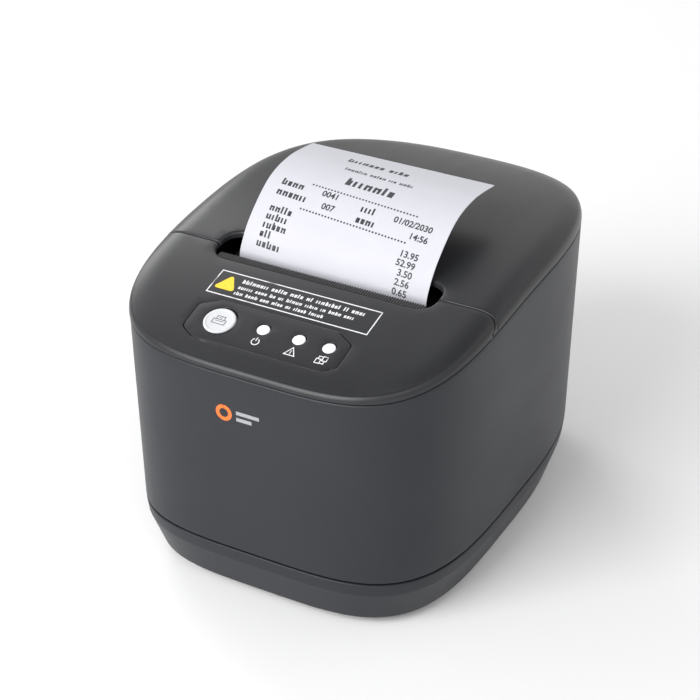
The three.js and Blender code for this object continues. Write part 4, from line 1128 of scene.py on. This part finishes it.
def make_tear_bar():
    """A black bar along the front of the slot, ribbed across and cut into teeth at its edge."""
    pitch = 2 * TEAR_HALF / TEAR_TEETH
    verts, faces, columns = [], [], []
    ribbed = len(TEAR_SECTION) - 3
    for i in range(2 * TEAR_TEETH + 1):
        x = -TEAR_HALF + i * pitch / 2
        tip = i % 2 == 1
        section = [(y * MM, z * MM + (TEAR_RIDGE if tip and k >= ribbed else 0))
                   for k, (y, z) in enumerate(TEAR_SECTION)]
        y, z = TEAR_TIP if tip else TEAR_ROOT
        section += [(y * MM, z * MM), *((v * MM, w * MM) for v, w in TEAR_UNDER)]
        columns.append(list(range(len(verts), len(verts) + len(section))))
        verts += [(x, v, w) for v, w in section]
    for one, two in zip(columns, columns[1:]):
        n = len(one)
        for k in range(n):
            faces.append((one[k], one[(k + 1) % n], two[(k + 1) % n], two[k]))
    faces += [tuple(columns[0]), tuple(columns[-1][::-1])]
    finish = FINISHES["black_plastic"]
    piece("tear_bar_teeth", (verts, faces), finish, "front_cover", "black_plastic", "tear_bar", sharp=20)


make_tear_bar()

# ---------------- receipt

# The receipt's route as (y, z) in millimetres, from the cutter to its free end.
RECEIPT_ROUTE = [
    (-33, 102.3), (-33.7, 110), (-32, 117), (-24.6, 126.3), (-10.2, 136), (5.5, 138.6), (23.3, 136.5),
]
RECEIPT_HALF = 39.75 * MM
RECEIPT_THICK = 0.16 * MM
PRINT_STEP = 0.8  # millimetres along the paper


def spline(route, steps):
    """Catmull-Rom curve through (y, z) points in millimetres, as the CAD strip follows it."""
    route = np.array(route, float) * MM
    padded = np.concatenate([route[:1], route, route[-1:]])
    out = []
    for p0, p1, p2, p3 in zip(padded, padded[1:], padded[2:], padded[3:]):
        v0, v1 = (p2 - p0) / 2, (p3 - p1) / 2
        for t in np.linspace(0, 1, steps, endpoint=False):
            cubic = 2 * p1 - 2 * p2 + v0 + v1
            square = 3 * p2 - 3 * p1 - 2 * v0 - v1
            out.append(cubic * t**3 + square * t * t + v0 * t + p1)
    out.append(route[-1])
    return np.array(out)


STRIP = spline(RECEIPT_ROUTE, 40)
STRIP_AT = np.concatenate([[0], np.cumsum(np.linalg.norm(np.diff(STRIP, axis=0), axis=1))])
STRIP_LENGTH = float(STRIP_AT[-1])


def on_strip(points, lift):
    """Place of (across, along) points on the receipt's printed face, lifted off it."""
    x = points[:, 0]
    s = np.clip(points[:, 1], 0, STRIP_LENGTH)
    y, z = (np.interp(s, STRIP_AT, STRIP[:, k]) for k in (0, 1))
    ahead = np.clip(s + 0.5 * MM, 0, STRIP_LENGTH)
    behind = np.clip(s - 0.5 * MM, 0, STRIP_LENGTH)
    dy = np.interp(ahead, STRIP_AT, STRIP[:, 0]) - np.interp(behind, STRIP_AT, STRIP[:, 0])
    dz = np.interp(ahead, STRIP_AT, STRIP[:, 1]) - np.interp(behind, STRIP_AT, STRIP[:, 1])
    size = np.hypot(dy, dz)
    lift = lift + RECEIPT_THICK / 2
    return np.column_stack([x, y - dz / size * lift, z + dy / size * lift])


def make_receipt():
    """The curled strip, as one closed sheet of even thickness."""
    across, along = 41, 80
    xs = np.linspace(-RECEIPT_HALF, RECEIPT_HALF, across)
    ss = np.linspace(0, STRIP_LENGTH, along)
    grid = np.array([(x, s) for s in ss for x in xs])
    front, rear = on_strip(grid, 0.0), on_strip(grid, -RECEIPT_THICK)
    n = len(grid)
    faces = []
    for j in range(along - 1):
        for i in range(across - 1):
            a = j * across + i
            quad = (a, a + 1, a + across + 1, a + across)
            faces += [quad, tuple(n + k for k in quad[::-1])]
    edge = list(range(across)) + [j * across + across - 1 for j in range(1, along)]
    edge += [(along - 1) * across + i for i in range(across - 2, -1, -1)]
    edge += [j * across for j in range(along - 2, 0, -1)]
    for a, b in zip(edge, edge[1:] + edge[:1]):
        faces.append((a, b, n + b, n + a))
    shell = (np.concatenate([front, rear]), faces)
    finish = FINISHES["thermal_paper"]
    return piece("receipt", shell, finish, "lid", "thermal_paper", "receipt_strip", sharp=60)


def prism_faces(polygon_list, place, lift, sink):
    """Thin closed bodies over flat polygons, each a list of (u, v) points."""
    shells = []
    for polygon in polygon_list:
        polygon = np.array(polygon, float)
        n = len(polygon)
        verts = np.concatenate([place(polygon, lift), place(polygon, -sink)])
        faces = [tuple(range(n)), tuple(range(2 * n - 1, n - 1, -1))]
        faces += [(i, (i + 1) % n, n + (i + 1) % n, n + i) for i in range(n)]
        shells.append((verts, faces))
    return merged(*shells)


def sliced(polygon):
    """A rectangle cut across into short pieces, which follow a curved strip."""
    (x0, y0), _, (x1, y1), _ = polygon
    count = math.ceil((y1 - y0) / PRINT_STEP)
    step = (y1 - y0) / count
    return [block(x0, y0 + k * step, x1 - x0, step) for k in range(count)]


def block(x, y, width, height):
    """A rectangle from its lower left corner."""
    return [(x, y), (x + width, y), (x + width, y + height), (x, y + height)]


# Shares of a greeked word's height.
STROKE_WEIGHT = 0.26
SHORT_STROKE = 0.72


def greeked(x, y, letters, height, seed):
    """A word as a row of plain strokes of uneven height: print without lettering."""
    out = []
    state = seed
    for _ in range(letters):
        state = (state * 73 + 41) % 997
        width = height * (0.34 + 0.16 * (state % 3))
        tall = height * (1.0 if state % 4 == 0 else SHORT_STROKE)
        thick = STROKE_WEIGHT * height
        out.append(block(x, y, thick, tall))
        if state % 3:
            out.append(block(x + width - thick, y, thick, SHORT_STROKE * height))
            bar = y + (SHORT_STROKE * height - thick) * (state % 2)
            out.append(block(x + thick, bar, width - 2 * thick, 0.8 * thick))
        x += width + 0.2 * height
    return out, x


PRINT_SLANT = -0.07
PRINT_LIFT, PRINT_SINK = 0.025 * MM, 0.03 * MM
DIGIT_WEIGHT = 0.09
DOT_RADIUS = 0.42


def place_print(points, lift):
    """The print runs slightly askew on the paper."""
    points = np.array(points, float) * MM
    slanted = np.column_stack([points[:, 0], points[:, 1] + PRINT_SLANT * points[:, 0]])
    return on_strip(slanted, lift)


def digits(text, x, s, size):
    """A plain number, set with its left end at x and its foot at s, in millimetres."""
    curve = bpy.data.curves.new("number", "FONT")
    curve.body = text
    curve.size = size
    curve.resolution_u = 3
    curve.extrude = 0.5
    curve.offset = DIGIT_WEIGHT
    holder = bpy.data.objects.new("number", curve)
    bpy.context.scene.collection.objects.link(holder)
    bpy.context.view_layer.update()
    mesh = bpy.data.meshes.new_from_object(holder)
    build = bmesh.new()
    build.from_mesh(mesh)
    for level in np.arange(0.0, size, PRINT_STEP)[1:]:
        parts = build.verts[:] + build.edges[:] + build.faces[:]
        bmesh.ops.bisect_plane(build, geom=parts, plane_co=(0, level, 0), plane_no=(0, 1, 0))
    build.to_mesh(mesh)
    build.free()
    co = np.array([v.co for v in mesh.vertices], float)
    faces = [tuple(p.vertices) for p in mesh.polygons]
    bpy.data.objects.remove(holder)
    bpy.data.curves.remove(curve)
    bpy.data.meshes.remove(mesh)
    flat = co[:, :2] + (x, s)
    return np.where(co[:, 2:3] > 0, place_print(flat, PRINT_LIFT), place_print(flat, -PRINT_SINK)), faces


def words_of(rows, seed_row, seed_word, seed, gap):
    """Strokes of greeked words. Each row is (x, foot, letters in each word, height)."""
    out = []
    for row, (x, y, lengths, height) in enumerate(rows):
        for k, letters in enumerate(lengths):
            word, x = greeked(x, y, letters, height, seed_row * row + seed_word * k + seed)
            out += word
            x += gap * height
    return out


RECEIPT_WORDS = [
    (-18.0, 66.0, (7, 4), 3.4), (-15.0, 58.4, (7, 5, 3, 4), 2.0), (-9.8, 49.2, (7,), 4.6),
    (-33.6, 40.4, (4,), 3.1), (-33.6, 35.6, (6,), 3.1), (2.3, 39.2, (4,), 3.0), (2.3, 34.4, (4,), 3.0),
    (-33.3, 28.4, (5,), 2.9), (-33.3, 24.8, (5,), 2.9), (-33.3, 21.2, (5,), 2.9),
    (-33.3, 17.6, (3,), 2.9), (-33.6, 13.8, (5,), 2.9),
]
DOTTED_ROWS, DOTTED_ENDS, DOTS = (44.4, 32.8), (-21.0, 24.6), 34
RECEIPT_NUMBERS = [
    ("0041", -15.6, 40.7, 3.7), ("007", -13.4, 35.4, 3.7), ("14:56", 25.0, 34.8, 3.6),
    ("01/02/2030", 16.6, 39.4, 3.6),
]
AMOUNTS = ("13.95", "52.99", "3.50", "2.56", "0.65")
AMOUNT_X, AMOUNT_TOP, AMOUNT_PITCH, AMOUNT_SHIFT = 24.2, 27.4, 3.55, 0.2
DIGIT_WIDTH = 1.9


def make_print():
    """Greeked words, dotted lines and plain numbers, set along the strip."""
    words = words_of(RECEIPT_WORDS, 17, 5, 3, 0.55)
    bars = [part for bar in words for part in sliced(bar)]
    angles = np.linspace(0, 2 * math.pi, 9)[:-1]
    for s in DOTTED_ROWS:
        for x in np.linspace(*DOTTED_ENDS, DOTS):
            bars.append([(x + DOT_RADIUS * math.cos(a), s + DOT_RADIUS * math.sin(a)) for a in angles])
    numbers = list(RECEIPT_NUMBERS)
    for k, value in enumerate(AMOUNTS):
        x = AMOUNT_X - AMOUNT_SHIFT * k + (5 - len(value)) * DIGIT_WIDTH
        numbers.append((value, x, AMOUNT_TOP - AMOUNT_PITCH * k, 3.6))
    shells = [prism_faces(bars, place_print, PRINT_LIFT, PRINT_SINK)]
    shells += [digits(*number) for number in numbers]
    return piece("receipt_print", merged(*shells), INK, "lid", "thermal_paper", sharp=20)


receipt = make_receipt()
receipt_print = make_print()

# ---------------- printing on the covers


def on_cover(points, lift):
    """Plan points in millimetres on the top covers, lifted off them."""
    points = np.array(points, float) * MM
    return np.column_stack([points, cover_height(points) + lift])


def on_panel_face(points, lift):
    return under_crown(PANEL_DROP)(np.array(points, float) * MM, -lift)


def stroke(points, width, closed=False):
    """Four-sided pieces that follow a line, with mitred joins."""
    points = np.array(points, float)
    n = len(points)
    sides = []
    for i in range(n):
        before = points[i - 1] if closed or i else points[0]
        after = points[(i + 1) % n] if closed or i < n - 1 else points[-1]
        a, b = points[i] - before, after - points[i]
        a = a / np.linalg.norm(a) if np.linalg.norm(a) > 0 else b / np.linalg.norm(b)
        b = b / np.linalg.norm(b) if np.linalg.norm(b) > 0 else a
        normal = np.array([-(a + b)[1], (a + b)[0]])
        normal /= np.linalg.norm(normal)
        grow = width / 2 / max(0.4, float(normal @ np.array([-a[1], a[0]])))
        sides.append((points[i] + normal * grow, points[i] - normal * grow))
    last = n if closed else n - 1
    return [[sides[i][0], sides[(i + 1) % n][0], sides[(i + 1) % n][1], sides[i][1]] for i in range(last)]


def inked(name, polygons, place, ink, body, slot, lift=0.03 * MM, sink=0.05 * MM):
    """Flat print on a face: thin closed bodies over polygons, lifted off the face."""
    piece(name, prism_faces(polygons, place, lift, sink), ink, body, slot, sharp=20)


# The label's frame and its rows of words, in millimetres.
LABEL_X, LABEL_Y = (-35.9, 31.2), (-63.3, -51.2)
LABEL_WORDS = [
    (-25.4, -55.2, (8, 5, 4, 2, 8, 2, 4), 2.0), (-25.4, -58.4, (6, 4, 2, 2, 5, 5, 2, 4, 4), 1.7),
    (-25.4, -61.5, (3, 4, 3, 4, 2, 5, 5), 1.7),
]
FRAME_LINE, FRAME_STEP = 0.45, 3.0


def make_label():
    """A printed frame with a plain yellow triangle and lines of greeked words."""
    (left, right), (front, rear) = LABEL_X, LABEL_Y
    corners = [(left, front), (right, front), (right, rear), (left, rear)]
    sides = [line(a, b, FRAME_STEP) for a, b in zip(corners, corners[1:] + corners[:1])]
    white = stroke(np.concatenate(sides), FRAME_LINE, True)
    white += words_of(LABEL_WORDS, 29, 7, 11, 0.6)
    inked("label_print", white, on_cover, WHITE_INK, "front_cover", "button_white")
    triangle = rounded_triangle(-30.4, -57.3, 5.3, 0.9)
    inked("label_triangle", [triangle], on_cover, YELLOW_INK, "front_cover", "button_white", 0.04 * MM)


def rounded_triangle(x, y, size, radius):
    """An upright triangle about its middle, with rounded corners."""
    points = []
    for angle in (-30, 90, 210):
        a = math.radians(angle)
        reach = size - 2 * radius
        centre = (x + reach * math.cos(a), y - 0.5 + reach * math.sin(a))
        points += list(arc(centre, radius, angle - 60, angle + 60, 5))
    return points


def box_outline(x0, y0, x1, y1):
    """The four corners of a rectangle between two opposite ones."""
    return [(x0, y0), (x1, y0), (x1, y1), (x0, y1)]


ICON_Y = -79.7
ICON_LINE = 0.36


def make_icons():
    """Plain pictograms under the three lights and on the button."""
    y = ICON_Y
    power, error, paper = (middle(name, 0) / MM for name in LIGHTS)
    icons = stroke(arc((power, y), 1.45, 120, 420, 20), ICON_LINE)
    icons += stroke([(power, y + 0.3), (power, y + 2.0)], ICON_LINE)
    icons += stroke([(error - 2.1, y - 1.6), (error + 2.1, y - 1.6), (error, y + 2.0)], ICON_LINE, True)
    icons += stroke([(error, y + 0.6), (error, y - 0.6)], ICON_LINE)
    icons += [block(error - ICON_LINE / 2, y - 1.15, ICON_LINE, 0.3)]
    icons += stroke(box_outline(paper - 2.0, y - 1.6, paper - 0.2, y + 0.4), 0.34, True)
    icons += stroke(box_outline(paper + 0.3, y + 1.9, paper + 2.0, y - 0.1), 0.34, True)
    icons += stroke([(paper - 1.4, y + 0.5), (paper - 1.4, y + 1.6), (paper + 0.2, y + 1.6)], 0.34)
    icons += stroke([(paper + 1.4, y - 0.3), (paper + 1.4, y - 1.4), (paper - 0.1, y - 1.4)], 0.34)
    inked("panel_icons", icons, on_panel_face, WHITE_INK, "front_cover", "button_white")

    def on_button(points, lift):
        height = DISH_HEIGHT + lift
        return np.array([PANEL_PLACE @ Vector((BUTTON_X + u * MM, v * MM, height)) for u, v in points])

    lines = stroke(box_outline(-2.6, -1.7, 2.6, 0.5), 0.28, True)
    lines += stroke([(-1.8, -0.3), (1.8, -0.3)], 0.24)
    lines += stroke([(-1.6, 0.6), (-1.6, 2.1), (1.6, 2.1), (1.6, 0.6)], 0.28)
    lines += stroke([(-0.7, 1.3), (0.7, 1.3)], 0.24)
    inked("button_icon", lines, on_button, DARK_INK, "feed_button", "black_plastic")


BADGE_SINK = 0.1 * MM


def make_badge():
    """A generic two-tone badge on the front: a ring and two bars, with no lettering."""

    def on_front(points, lift):
        out = []
        for x, z in np.array(points, float) * MM:
            depth = FRONT_DEPTH - casing_inset(z)
            width = HALF_WIDTH - casing_inset(z)
            y = MIDDLE_Y - depth * (1 - (abs(x) / width) ** FRONT_POWER) ** (1 / FRONT_POWER)
            out.append((x, y - lift, z))
        return np.array(out)

    ring = stroke(circle(-10.6, 85.0, 2.6, 36), 1.5, True)
    bars = [block(-5.4, 85.6, 9.6, 1.5), block(-5.4, 82.9, 6.4, 1.5)]
    for name, shapes, ink in (("badge_ring", ring, ORANGE_INK), ("badge_bars", bars, GREY_INK)):
        inked(name, shapes, on_front, ink, "casing", "casing", 0.04 * MM, BADGE_SINK)


make_label()
make_icons()
make_badge()

# ---------------- carried-over CAD pieces

# Width in millimetres of the rounding on the edges of small pieces.
SOFT_EDGE = {
    "gear_plastic": 0.12, "brass": 0.1, "screw_steel": 0.15, "bright_steel": 0.15, "blade_steel": 0.08,
}


def finish_cad_nodes():
    """Gives each CAD piece that still shows its slot's material and slightly rounded edges."""
    slots = {row["node"]: row["material_slot"] for row in frame["record"]["subparts"]}
    for name, made in frame["nodes"].items():
        if made.hide_render:
            continue
        slot = slots[name]
        made.data.materials.clear()
        made.data.materials.append(FINISHES[slot])
        weld = made.modifiers.new("weld", "WELD")
        weld.merge_threshold = 1e-5
        bevel = made.modifiers.new("bevel", "BEVEL")
        bevel.width = SOFT_EDGE.get(slot, 0.2) * MM
        bevel.segments = 2
        bevel.limit_method = "ANGLE"
        bevel.angle_limit = math.radians(40)
        bevel.use_clamp_overlap = True


finish_cad_nodes()
